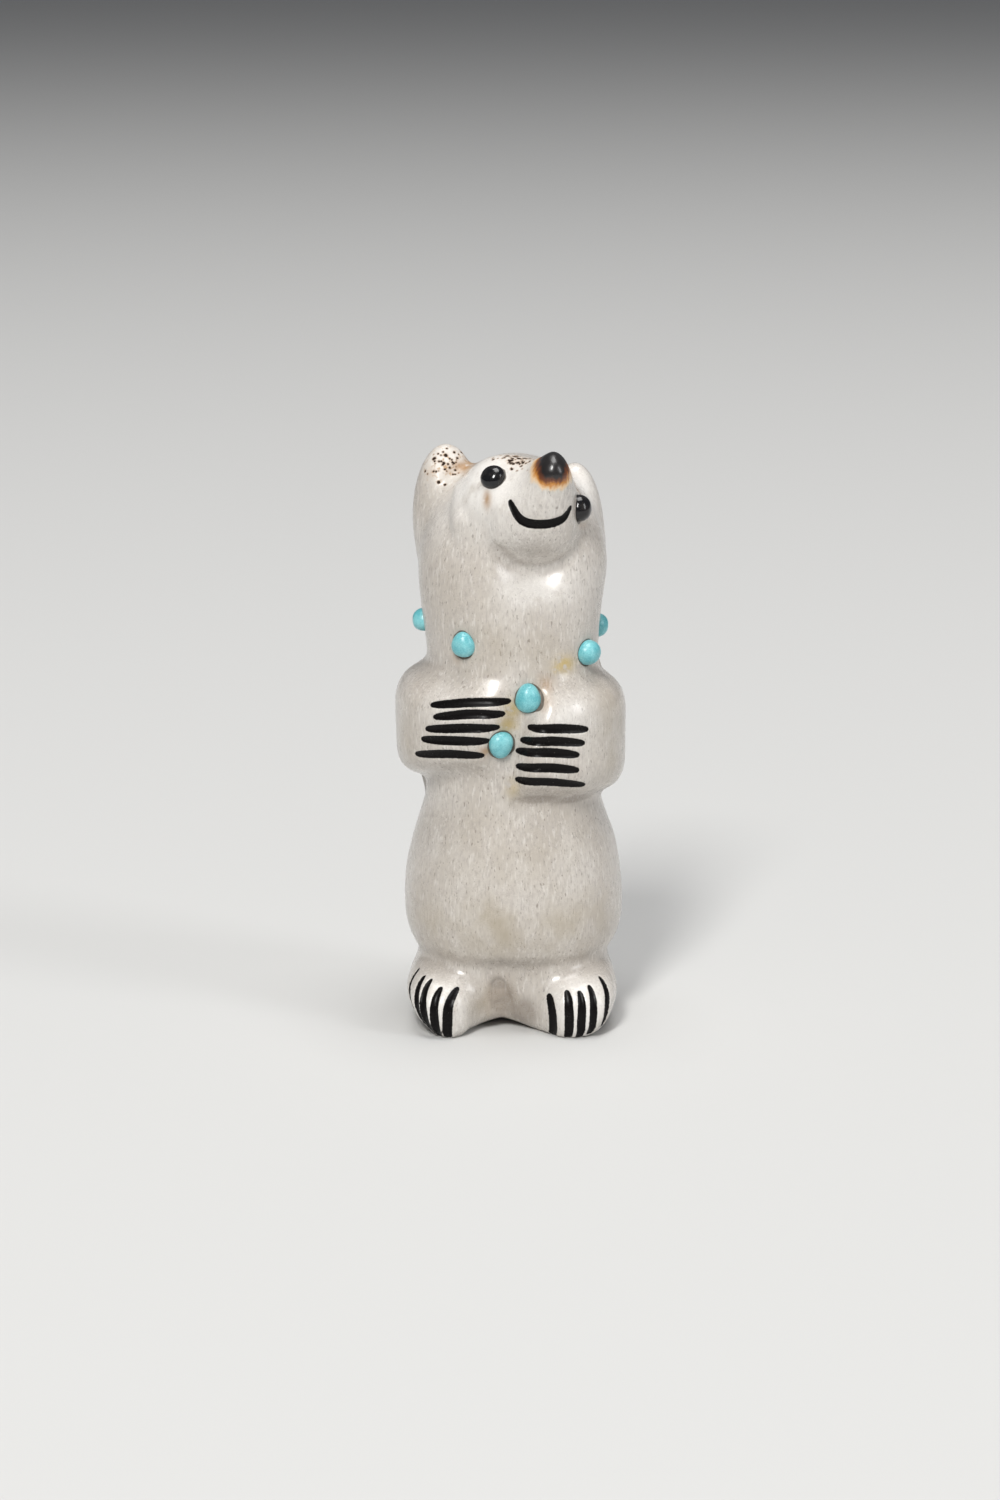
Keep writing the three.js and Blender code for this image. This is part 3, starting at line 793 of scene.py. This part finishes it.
# %% Carve
MOAT_DEPTH, MOAT_WIDTH = 0.03, 0.16
here = points_of(skin_mesh)
outward = way_out(here)
ink, graver_depth = cut_edge(here)
rim = stone_edge(here)
pit, pit_depth = pit_edge(here)
moat = MOAT_DEPTH * np.exp(-((rim / MOAT_WIDTH) ** 2))
carved = here - outward * (graver_depth + pit_depth + moat)[:, None]
put_points(skin_mesh, carved)
print("deepest cut, mm:", round(float(graver_depth.max()), 2))

# %% [markdown]
# ## Marks that the finish needs
#
# Glue has yellowed beside some stones and antler is browner in some places. Beige antler low on the
# belly and the neck is partly painted shade, paler patches on the head, throat, paws and toes are
# painted light, and painted shade darkens the hollows, creases and undersides, with some real dirt
# between the feet. These lie in known places. Each becomes a number on the points of the skin, which
# the material reads by name and breaks up with noise, so a mark keeps its place and still looks grown.

# %% Where the marks lie
# Each mark: its middle, its reach in x, y and z, and its strength.
GLUE_STAINS = [
    ((4.9, -7.3, 36.4), (1.0, 1.5, 0.8), 1.2), ((4.3, -7.7, 36.1), (0.6, 1.5, 0.5), 1.0),
    ((-0.1, -9.3, 32.3), (0.8, 2.0, 1.0), 1.1), ((-0.5, -9.3, 31.0), (0.9, 2.0, 0.9), 1.2),
    ((0.0, -9.1, 24.6), (0.7, 1.5, 1.0), 0.6),
]
TAN_STAINS = [
    ((3.0, -8.6, 34.5), (0.8, 1.5, 1.0), 0.8), ((3.1, -9.4, 33.1), (0.7, 1.5, 1.2), 0.65),
    ((-2.6, -9.7, 28.4), (0.7, 1.5, 0.5), 1.1), ((-2.5, -7.2, 52.3), (0.36, 1.5, 0.85), 1.3),
    ((-4.8, 1.9, 54.0), (1.1, 1.5, 0.5), 1.5), ((-4.1, 2.6, 54.4), (0.7, 1.2, 0.5), 1.5),
    ((-7.9, 1.4, 53.6), (0.6, 1.2, 0.6), 0.45), ((-6.1, 1.4, 53.6), (0.6, 1.2, 0.4), 0.6),
    ((0.4, -5.0, 55.8), (1.4, 1.5, 0.5), 0.3), ((-1.2, -8.0, 3.4), (1.4, 2.5, 1.8), 0.4),
    ((6.3, -4.6, 49.4), (0.7, 1.5, 0.4), 0.6), ((-5.4, -7.4, 37.0), (0.5, 1.5, 0.7), 0.4),
]
# Beige antler; low on the belly and the neck these patches are also painted shade.
BEIGE_AND_SHADE_PATCHES = [
    ((0.0, -8.0, 10.4), (11.0, 7.0, 2.8), 0.95), ((-2.5, -10.2, 11.8), (4.5, 4.0, 2.6), 1.0),
    ((7.5, -7.6, 11.8), (3.4, 4.0, 2.6), 0.8), ((-2.4, -8.6, 2.6), (1.7, 3.0, 2.0), 0.9),
    ((0.0, 9.0, 12.0), (9.0, 5.0, 4.0), 0.5), ((0.0, -10.0, 18.0), (9.0, 5.0, 7.0), 0.32),
    ((9.4, -6.0, 29.0), (1.8, 4.0, 5.0), 0.7), ((-9.6, -5.0, 28.0), (1.8, 4.0, 3.5), 0.4),
    ((-4.0, -9.0, 43.0), (4.0, 4.0, 3.0), 0.25), ((1.0, -9.0, 38.6), (6.5, 4.0, 2.6), 0.5),
]
# Painted light: paler patches that brighten the head, the throat, the paws and the toes.
PAINTED_LIGHT_PATCHES = [
    ((-2.6, -5.5, 53.3), (5.5, 5.0, 3.4), 1.0), ((2.4, -8.0, 44.0), (3.6, 2.5, 1.9), 0.8),
    ((6.4, 0.5, 52.0), (2.4, 2.5, 2.8), 0.8), ((4.5, -9.5, 31.5), (3.6, 3.0, 2.2), 0.5),
    ((-5.5, -9.0, 31.5), (4.4, 3.0, 2.2), 0.35), ((-7.5, -9.0, 2.6), (3.2, 4.0, 2.8), 1.0),
    ((6.5, -9.5, 2.6), (3.4, 4.0, 2.8), 1.0),
]
# Painted shade under the arms, the chin and the belly, and in the crease between the feet, where some
# real dirt lies too.
SHADE_AND_DIRT = [
    ((1.0, -7.8, 2.0), (1.8, 3.0, 1.5), 1.0), ((-0.9, -7.8, 3.0), (1.4, 3.0, 2.0), 0.9),
    ((2.4, -9.2, 23.5), (2.6, 2.6, 0.45), 1.2), ((6.6, -7.4, 23.1), (3.2, 3.0, 0.45), 1.2),
    ((-6.0, -8.0, 25.2), (4.0, 2.5, 0.8), 0.3), ((2.0, -8.4, 47.4), (3.0, 2.4, 1.5), 0.5),
    ((0.0, -9.0, 7.1), (9.0, 5.0, 0.9), 0.45),
]
SPONGY_ZONES = [((-6.4, 1.5, 54.4), (2.6, 2.4, 1.9), 1.0), ((0.3, -4.6, 56.2), (2.6, 2.0, 0.8), 0.8)]
SCORCH = {"at": (3.7, -9.3, 56.5), "radii": (1.5, 2.6, 2.08), "power": 3}
# How far out the hollowness of each point is measured, for the painted shade in hollows and creases.
HOLLOW_REACHES = (1.2, 3.0)
print("marks placed:", len(GLUE_STAINS + TAN_STAINS + BEIGE_AND_SHADE_PATCHES + PAINTED_LIGHT_PATCHES + SHADE_AND_DIRT))


# %% Write the marks as attributes
def blot(points, marks):
    """How strongly a list of soft round marks covers each point."""
    cover = np.zeros(len(points))
    for place, reach, strength in marks:
        away = (points - np.array(place)) / np.array(reach)
        cover = np.maximum(cover, strength * np.exp(-(away**2).sum(axis=1)))
    return cover


# Painted shade: the more the form closes round a point, the darker it is painted, as shade would fall
# there.
hollow = sum(np.clip(1 - form(here + reach * outward) / reach, 0, 1) for reach in HOLLOW_REACHES) / 2
marks = {
    "ink": ink,
    "pit": pit,
    "rim": rim,
    "scorch": np.minimum(egg(here, **SCORCH), FAR),
    "spongy": blot(here, SPONGY_ZONES),
    "glue": blot(here, GLUE_STAINS),
    "tan": blot(here, TAN_STAINS),
    "beige": blot(here, BEIGE_AND_SHADE_PATCHES),
    "pale": blot(here, PAINTED_LIGHT_PATCHES),
    "shade_and_dirt": np.maximum(hollow, blot(here, SHADE_AND_DIRT)),
}
for name, values in marks.items():
    attribute = skin_mesh.attributes.new(name, "FLOAT", "POINT")
    attribute.data.foreach_set("value", values.astype(np.float32))
print("marks:", ", ".join(marks))

# %% Hand over the bear
put_points(skin_mesh, points_of(skin_mesh) * MM)
skin_mesh.shade_smooth()
bear = new_object("antler_bear", skin_mesh)
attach(bear, "root")
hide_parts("bear")
print("the bear has", len(skin_mesh.polygons), "faces")

# %% [markdown]
# ## The stones
#
# A cabochon is a low dome ground by hand on a flat stone, so its rim is nearly upright and its top
# is not quite round. Half of a sphere, with its height drawn from a squarer curve, gives that
# profile, and a small seeded wobble keeps any two from being alike. The eyes are made in the same
# way from a black stone. A short skirt goes below the skin, so no gap shows round the rim.

# %% Grind a cabochon
DOME_SPREAD = 0.72  # less sends more of the dome out to its shoulder
SHOULDER, DOME_FULLNESS = 2.5, 0.53
SKIRT, SKIRT_SPREAD, SKIRT_POWER = 0.5, 0.35, 6
UNEVEN = 0.05


def cabochon(name, seed):
    """A domed stone seated on the skin at its place."""
    seat = seats[name]
    lean = np.random.default_rng(seed).uniform(-UNEVEN, UNEVEN, 4)
    bm = bmesh.new()
    bmesh.ops.create_uvsphere(bm, u_segments=48, v_segments=32, radius=1.0)
    for v in bm.verts:
        x, y, z = v.co
        around = min(math.hypot(x, y), 1.0)
        if z >= 0:
            spread = around**DOME_SPREAD
            rise = max(1 - spread**SHOULDER, 0) ** DOME_FULLNESS * seat["rise"]
        else:
            spread = around**SKIRT_SPREAD
            rise = -SKIRT * (1 - around**SKIRT_POWER) ** 0.5
        turn = math.atan2(y, x)
        spread *= 1 + lean[2] * math.cos(2 * turn) + lean[3] * math.sin(3 * turn)
        tilt = 1 + lean[0] * x + lean[1] * y
        across, upward = math.cos(turn) * spread, math.sin(turn) * spread
        v.co = (across * seat["wide"] / 2, upward * seat["tall"] / 2, rise * tilt)
    bmesh.ops.recalc_face_normals(bm, faces=bm.faces)
    matrix = Matrix.Scale(MM, 4) @ oriented(seat["at"], seat["out"])
    bmesh.ops.transform(bm, matrix=matrix, verts=bm.verts)
    mesh = bpy.data.meshes.new(name + "_ground")
    bm.to_mesh(mesh)
    bm.free()
    mesh.shade_smooth()
    stone = new_object(name + "_ground", mesh)
    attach(stone, "root")
    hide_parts(name)
    return stone


stones = [cabochon(name, number) for number, name in enumerate(STONES)]
eyes = [cabochon(name, 20 + number) for number, name in enumerate(EYES)]
print(len(stones), "turquoise stones and", len(eyes), "eyes")

# %% [markdown]
# ## Shared effects
#
# Two effects serve more than one material: noise in millimetres that can be drawn out along the
# grain, and the uneven shine and fine scratches that polishing by hand leaves. Each is a node group
# with named inputs and outputs, so each material can use it with its own values.


# %% Helpers for node trees
def socket(group, name, way, value=0.0):
    """Adds a named number that a node group takes in or puts out."""
    made = group.interface.new_socket(name=name, in_out=way, socket_type="NodeSocketFloat")
    made.default_value = value


def node(tree, kind, values=None, **settings):
    """A node with its settings and the values of its inputs, given by name or number."""
    made = tree.nodes.new(kind)
    for key, value in settings.items():
        setattr(made, key, value)
    for key, value in (values or {}).items():
        if isinstance(value, bpy.types.NodeSocket):
            tree.links.new(value, made.inputs[key])
        else:
            made.inputs[key].default_value = value
    return made


def maths(tree, operation, a, b=0.0, c=None, clamp=False):
    """The result of a sum on numbers or sockets."""
    values = {0: a, 1: b} if c is None else {0: a, 1: b, 2: c}
    return node(tree, "ShaderNodeMath", values, operation=operation, use_clamp=clamp).outputs[0]


def ramp(tree, value, low, high, to_low=0.0, to_high=1.0):
    """A smooth step of a value from one number to another."""
    made = node(
        tree,
        "ShaderNodeMapRange",
        {"Value": value, "From Min": low, "From Max": high, "To Min": to_low, "To Max": to_high},
        interpolation_type="SMOOTHSTEP",
    )
    return made.outputs["Result"]


def mix(tree, share, a, b):
    """A mix of two colours."""
    return node(tree, "ShaderNodeMix", {0: share, 6: a, 7: b}, data_type="RGBA").outputs[2]


print("materials so far:", ", ".join(material.name for material in bpy.data.materials))


# %% Noise in millimetres
def grain_group():
    """Noise on Object coordinates, in millimetres, drawn out along Z by a stretch."""
    group = bpy.data.node_groups.new("grain_in_mm", "ShaderNodeTree")
    for name, value in (("Per mm", 1.0), ("Stretch", 1.0), ("Detail", 3.0), ("Shift", 0.0)):
        socket(group, name, "INPUT", value)
    socket(group, "Value", "OUTPUT")
    enter = group.nodes.new("NodeGroupInput")
    leave = group.nodes.new("NodeGroupOutput")
    place = node(group, "ShaderNodeTexCoord").outputs["Object"]
    flat = maths(group, "MULTIPLY", enter.outputs["Per mm"], 1 / MM)
    tall = maths(group, "DIVIDE", flat, enter.outputs["Stretch"])
    sizes = node(group, "ShaderNodeCombineXYZ", {0: flat, 1: flat, 2: tall}).outputs[0]
    scaled = node(group, "ShaderNodeVectorMath", {0: place, 1: sizes}, operation="MULTIPLY").outputs[0]
    shift = {0: scaled, 1: enter.outputs["Shift"]}
    moved = node(group, "ShaderNodeVectorMath", shift, operation="ADD").outputs[0]
    read = {"Vector": moved, "Scale": 1.0, "Detail": enter.outputs["Detail"]}
    noise = node(group, "ShaderNodeTexNoise", read)
    group.links.new(noise.outputs["Fac"], leave.inputs["Value"])
    return group


grain = grain_group()
print("grain_in_mm has", len(grain.nodes), "nodes")


# %% Use the noise
def grained(tree, per_mm, stretch, detail, shift):
    """Noise of a fineness, drawn out along Z, with a shift that makes each use different."""
    values = {"Per mm": per_mm, "Stretch": stretch, "Detail": detail, "Shift": shift}
    return node(tree, "ShaderNodeGroup", values, node_tree=grain).outputs["Value"]


def uneven(tree, noise, reach):
    """Noise about zero, which makes the edge of a mark ragged."""
    return maths(tree, "MULTIPLY", maths(tree, "SUBTRACT", grained(tree, *noise), 0.5), reach)


print("sockets of the noise:", ", ".join(item.name for item in grain.interface.items_tree))


# %% Polishing marks
def polish_group():
    """Roughness that varies over a hand-polished surface, and the height of its scratches."""
    group = bpy.data.node_groups.new("hand_polish", "ShaderNodeTree")
    socket(group, "Roughness", "INPUT", 0.3)
    socket(group, "Variation", "INPUT", 0.1)
    socket(group, "Roughness", "OUTPUT")
    socket(group, "Height", "OUTPUT")
    enter = group.nodes.new("NodeGroupInput")
    leave = group.nodes.new("NodeGroupOutput")
    broad = grained(group, 0.35, 1.0, 4.0, 3.1)
    fine = grained(group, 5.0, 0.25, 2.0, 7.7)
    both = maths(group, "ADD", broad, maths(group, "MULTIPLY", fine, 0.5))
    swing = maths(group, "SUBTRACT", both, 0.75)
    rough = maths(group, "MULTIPLY_ADD", swing, enter.outputs["Variation"], enter.outputs["Roughness"])
    group.links.new(rough, leave.inputs["Roughness"])
    group.links.new(fine, leave.inputs["Height"])
    return group


polish = polish_group()
print("hand_polish has", len(polish.nodes), "nodes")


# %% Start a material and finish it
RELIEF = 0.03  # the depth of the finest marks, in millimetres


def polished(tree, roughness, variation):
    """The roughness and the scratches of a polished material."""
    values = {"Roughness": roughness, "Variation": variation}
    made = node(tree, "ShaderNodeGroup", values, node_tree=polish)
    return made.outputs["Roughness"], made.outputs["Height"]


def new_material(name):
    """A material with its node tree and shader."""
    material = bpy.data.materials.new(name)
    material.use_nodes = True
    return material, material.node_tree, material.node_tree.nodes["Principled BSDF"]


def dress(tree, shader, colour, rough, height, strength):
    """Gives a material its colour, its roughness and the relief of its finest marks."""
    values = {"Height": height, "Strength": strength, "Distance": RELIEF * MM}
    bump = node(tree, "ShaderNodeBump", values)
    tree.links.new(colour, shader.inputs["Base Color"])
    tree.links.new(rough, shader.inputs["Roughness"])
    tree.links.new(bump.outputs["Normal"], shader.inputs["Normal"])


print("node groups:", ", ".join(group.name for group in bpy.data.node_groups))


# %% Read the marks
def mark(tree, name):
    """A mark that was written on the points of the skin."""
    return node(tree, "ShaderNodeAttribute", attribute_name=name).outputs["Fac"]


def patchy(tree, name, noise, low, high):
    """A mark broken up by noise."""
    return maths(tree, "MULTIPLY", mark(tree, name), ramp(tree, grained(tree, *noise), low, high))


print("a mark can be read as", ", ".join(marks))

# %% [markdown]
# ## Antler
#
# Polished antler is a warm off-white bone with fine grey fibres that run along it, short dark
# pores, and cloudy patches of cream and grey. Each of these is a layer of noise, stretched upward,
# because the antler's fibres run up the figure. They are laid over each other from the broadest to
# the finest, each with its own colour, and all stay faint: the eye should read one pale bone.

# %% Colour of the antler
# Each grain: its noise per mm, stretch, detail and shift, then where it starts and is full, its
# strength, and its colour.
GRAINS = {
    "fleck": ((2.6, 1.4, 5.0, 5.9), (0.42, 0.68), 0.5, (0.50, 0.455, 0.42, 1)),
    "fibre": ((5.5, 5.0, 2.0, 2.2), (0.53, 0.69), 0.5, (0.40, 0.36, 0.33, 1)),
    "pale fibre": ((4.0, 5.0, 2.0, 8.4), (0.52, 0.72), 0.45, (0.84, 0.81, 0.77, 1)),
    "pore": ((5.5, 3.0, 1.0, 4.4), (0.655, 0.73), 0.75, (0.24, 0.20, 0.17, 1)),
}
antler, tree, shader = new_material("polished_antler")
cloud = grained(tree, 0.16, 1.8, 5.0, 1.3)
base = mix(tree, ramp(tree, cloud, 0.38, 0.66), (0.555, 0.508, 0.452, 1), (0.655, 0.615, 0.565, 1))
grains = {}
for name, (noise, edges, strength, tone) in GRAINS.items():
    grains[name] = grained(tree, *noise)
    base = mix(tree, ramp(tree, grains[name], *edges, 0.0, strength), base, tone)
# Painted light: the paler patches lighten the bone where the lamps leave the form dim.
pale = patchy(tree, "pale", (0.6, 1.5, 4.0, 23.0), 0.15, 0.5)
base = mix(tree, maths(tree, "MULTIPLY", pale, 0.85), base, (0.90, 0.88, 0.845, 1))
spongy = mark(tree, "spongy")
base = mix(tree, maths(tree, "MULTIPLY", spongy, 0.65), base, (0.82, 0.79, 0.74, 1))
crumb = ramp(tree, grained(tree, 3.0, 1.0, 3.0, 17.0), 0.56, 0.66)
crumb = maths(tree, "MULTIPLY", crumb, maths(tree, "MULTIPLY", spongy, 0.85))
base = mix(tree, crumb, base, (0.42, 0.25, 0.11, 1))
print("grains of the antler:", ", ".join(grains))

# %% [markdown]
# ### Stains and painted shade
#
# Beige antler shows low on the belly, where it is partly painted shade, yellow glue beside the
# stones, brown at the ear and under the eye, and painted shade in every hollow, crease and underside,
# with some real dirt between the feet. Each is mixed in where its mark says, through noise of a size
# that fits what it is: broad for the antler itself, fine for glue, shade and dirt.

# %% Stains
# Beige is antler colour, and low on the belly and the neck it is partly painted shade.
STAINS = {
    "beige": ((0.3, 1.3, 6.0, 9.1), (0.25, 0.7), 1.0, (0.43, 0.37, 0.28, 1)),
    "glue": ((1.2, 1.0, 5.0, 6.6), (0.30, 0.50), 0.8, (0.56, 0.42, 0.16, 1)),
    "tan": ((1.6, 1.0, 5.0, 4.2), (0.22, 0.50), 0.7, (0.40, 0.235, 0.11, 1)),
}
for name, (noise, edges, strength, tone) in STAINS.items():
    stain = patchy(tree, name, noise, *edges)
    base = mix(tree, maths(tree, "MULTIPLY", stain, strength, clamp=True), base, tone)
# Painted shade in hollows, creases and undersides, with some real dirt between the feet.
shade_and_dirt = maths(tree, "MULTIPLY_ADD", grained(tree, 0.9, 1.0, 5.0, 13.3), 0.35, mark(tree, "shade_and_dirt"))
base = mix(tree, ramp(tree, shade_and_dirt, 0.24, 1.0, 0.0, 0.65), base, (0.24, 0.20, 0.165, 1))
print("stains:", ", ".join(STAINS), "and grime")

# %% [markdown]
# ### The scorched nose
#
# The nose was blackened with a hot point. Heat turns bone straw, orange, brown and then black. The
# mark holds the distance from the edge of the burn, so each colour takes over further in than the
# last, and streaky noise keeps the edges from being rings.

# %% The scorched nose
# Each burn: where it starts and is full, in millimetres, its strength, and its colour.
BURNS = {
    "straw": ((1.0, 0.55), 0.8, (0.84, 0.56, 0.28, 1)),
    "orange": ((0.66, 0.28), 1.0, (0.55, 0.23, 0.045, 1)),
    "brown": ((0.36, -0.05), 1.0, (0.15, 0.042, 0.012, 1)),
    "black": ((0.02, -0.42), 1.0, (0.014, 0.012, 0.012, 1)),
}
ragged = uneven(tree, (2.6, 3.0, 4.0, 2.7), 0.9)
scorch_at = maths(tree, "ADD", mark(tree, "scorch"), ragged)
for edges, strength, tone in BURNS.values():
    base = mix(tree, ramp(tree, scorch_at, *edges, 0.0, strength), base, tone)
print("burns:", ", ".join(BURNS))

# %% [markdown]
# ### Pits, glue lines with painted shadow, and black filling
#
# The pits hold old dark dirt with a brown edge, a thin dark line of glue and painted contact shadow
# runs round each stone, and the cuts are filled with black that has worn a little. The distances
# that shaped the mesh are used again for the colours, so the colour ends exactly where the shape does.

# %% Pits, glue lines and black filling
pit_at = maths(tree, "ADD", mark(tree, "pit"), maths(tree, "MULTIPLY", ragged, 0.2))
pit_fill = ramp(tree, pit_at, 0.03, -0.04)
base = mix(tree, ramp(tree, pit_at, 0.14, 0.0, 0.0, 0.5), base, (0.34, 0.19, 0.08, 1))
base = mix(tree, pit_fill, base, (0.035, 0.022, 0.015, 1))
# A dark line round each stone: the glue in the joint, partly painted contact shadow.
seam = ramp(tree, grained(tree, 0.45, 1.0, 2.0, 14.2), 0.35, 0.6, 0.02, 0.16)
glue_and_shadow_line = ramp(tree, maths(tree, "SUBTRACT", mark(tree, "rim"), seam), 0.03, -0.05, 0.0, 0.85)
base = mix(tree, glue_and_shadow_line, base, (0.075, 0.06, 0.045, 1))
ink_at = maths(tree, "ADD", mark(tree, "ink"), uneven(tree, (5.0, 1.0, 3.0, 1.9), 0.10))
ink = ramp(tree, ink_at, 0.03, -0.03)
worn = ramp(tree, grained(tree, 6.0, 0.5, 3.0, 31.0), 0.69, 0.76, 0.0, 0.5)
ink_colour = mix(tree, worn, (0.006, 0.005, 0.005, 1), (0.30, 0.28, 0.26, 1))
base = mix(tree, ink, base, ink_colour)
print("the whole colour has", len(tree.nodes), "nodes")

# %% [markdown]
# ### The polish
#
# The skin is buffed to a shine with a thin clear coat over it, as wax gives. Pits and the spongy
# patches are rougher, and the filling and the glue line have no coat. Pores and fibres are low
# enough to be left to a bump, with a depth of a few hundredths of a millimetre.

# %% Polish of the antler
THIN_COAT = 0.22
BARE_GLOSS, FULL_GLOSS = 0.10, 0.50
rough, scratch = polished(tree, 0.28, 0.2)
pores = ramp(tree, grains["pore"], 0.71, 0.77)
rough = maths(tree, "MULTIPLY_ADD", pores, 0.15, rough)
rough = maths(tree, "MULTIPLY_ADD", spongy, 0.3, rough)
rough = maths(tree, "MULTIPLY_ADD", pit_fill, 0.3, rough, clamp=True)
rough = maths(tree, "MULTIPLY_ADD", ramp(tree, scorch_at, 0.3, 0.0), 0.04, rough, clamp=True)
dull = maths(tree, "MAXIMUM", ink, pit_fill)
dull = maths(tree, "MAXIMUM", dull, ramp(tree, mark(tree, "rim"), 0.45, 0.1))
dull = maths(tree, "MAXIMUM", dull, maths(tree, "MULTIPLY", spongy, 0.8))
bare = maths(tree, "SUBTRACT", 1.0, dull, clamp=True)
coat = maths(tree, "MULTIPLY", bare, THIN_COAT)
tree.links.new(coat, shader.inputs["Coat Weight"])
gloss = maths(tree, "MULTIPLY_ADD", bare, FULL_GLOSS - BARE_GLOSS, BARE_GLOSS)
tree.links.new(gloss, shader.inputs["Specular IOR Level"])
relief = maths(tree, "MULTIPLY", scratch, 0.10)
relief = maths(tree, "MULTIPLY_ADD", ramp(tree, grains["fibre"], 0.54, 0.70), -0.2, relief)
relief = maths(tree, "MULTIPLY_ADD", pores, -0.5, relief)
dress(tree, shader, base, rough, relief, 0.2)
shader.inputs["IOR"].default_value = 1.54
shader.inputs["Coat Roughness"].default_value = 0.12
skin_mesh.materials.clear()
skin_mesh.materials.append(antler)
print("the antler is finished with", len(tree.nodes), "nodes")

# %% [markdown]
# ## Turquoise
#
# Pale blue-green stone, soft in colour, with whiter clouds and a few darker grains, ground to a
# smooth shine. Clouds, sand and veins are three sizes of the same noise. It is opaque, so it needs
# no light inside it.

# %% Turquoise
turquoise, tree, shader = new_material("turquoise")
cloud = grained(tree, 0.9, 1.0, 4.0, 12.0)
colour = mix(tree, ramp(tree, cloud, 0.35, 0.68), (0.12, 0.46, 0.51, 1), (0.24, 0.62, 0.66, 1))
sand = grained(tree, 9.0, 1.0, 3.0, 18.0)
colour = mix(tree, ramp(tree, sand, 0.50, 0.68, 0.0, 0.45), colour, (0.34, 0.70, 0.72, 1))
colour = mix(tree, ramp(tree, sand, 0.48, 0.32, 0.0, 0.45), colour, (0.07, 0.36, 0.42, 1))
vein = grained(tree, 2.6, 1.0, 5.0, 15.0)
colour = mix(tree, ramp(tree, vein, 0.62, 0.74, 0.0, 0.35), colour, (0.07, 0.36, 0.38, 1))
rough, scratch = polished(tree, 0.3, 0.15)
dress(tree, shader, colour, rough, maths(tree, "MULTIPLY_ADD", sand, 0.6, scratch), 0.25)
shader.inputs["IOR"].default_value = 1.6
for stone in stones:
    stone.data.materials.append(turquoise)
print("turquoise has", len(tree.nodes), "nodes")

# %% [markdown]
# ## Jet
#
# The eyes are black and polished to a mirror, with a few fine scratches. Black shows nothing but
# what it mirrors, so the shine has to be uneven, and the colour is never quite black.

# %% Jet
jet, tree, shader = new_material("jet")
cloud = grained(tree, 1.4, 1.0, 4.0, 21.0)
colour = mix(tree, ramp(tree, cloud, 0.4, 0.7), (0.006, 0.006, 0.007, 1), (0.022, 0.020, 0.019, 1))
rough, scratch = polished(tree, 0.14, 0.12)
dress(tree, shader, colour, rough, scratch, 0.10)
for eye in eyes:
    eye.data.materials.append(jet)
print("jet has", len(tree.nodes), "nodes")
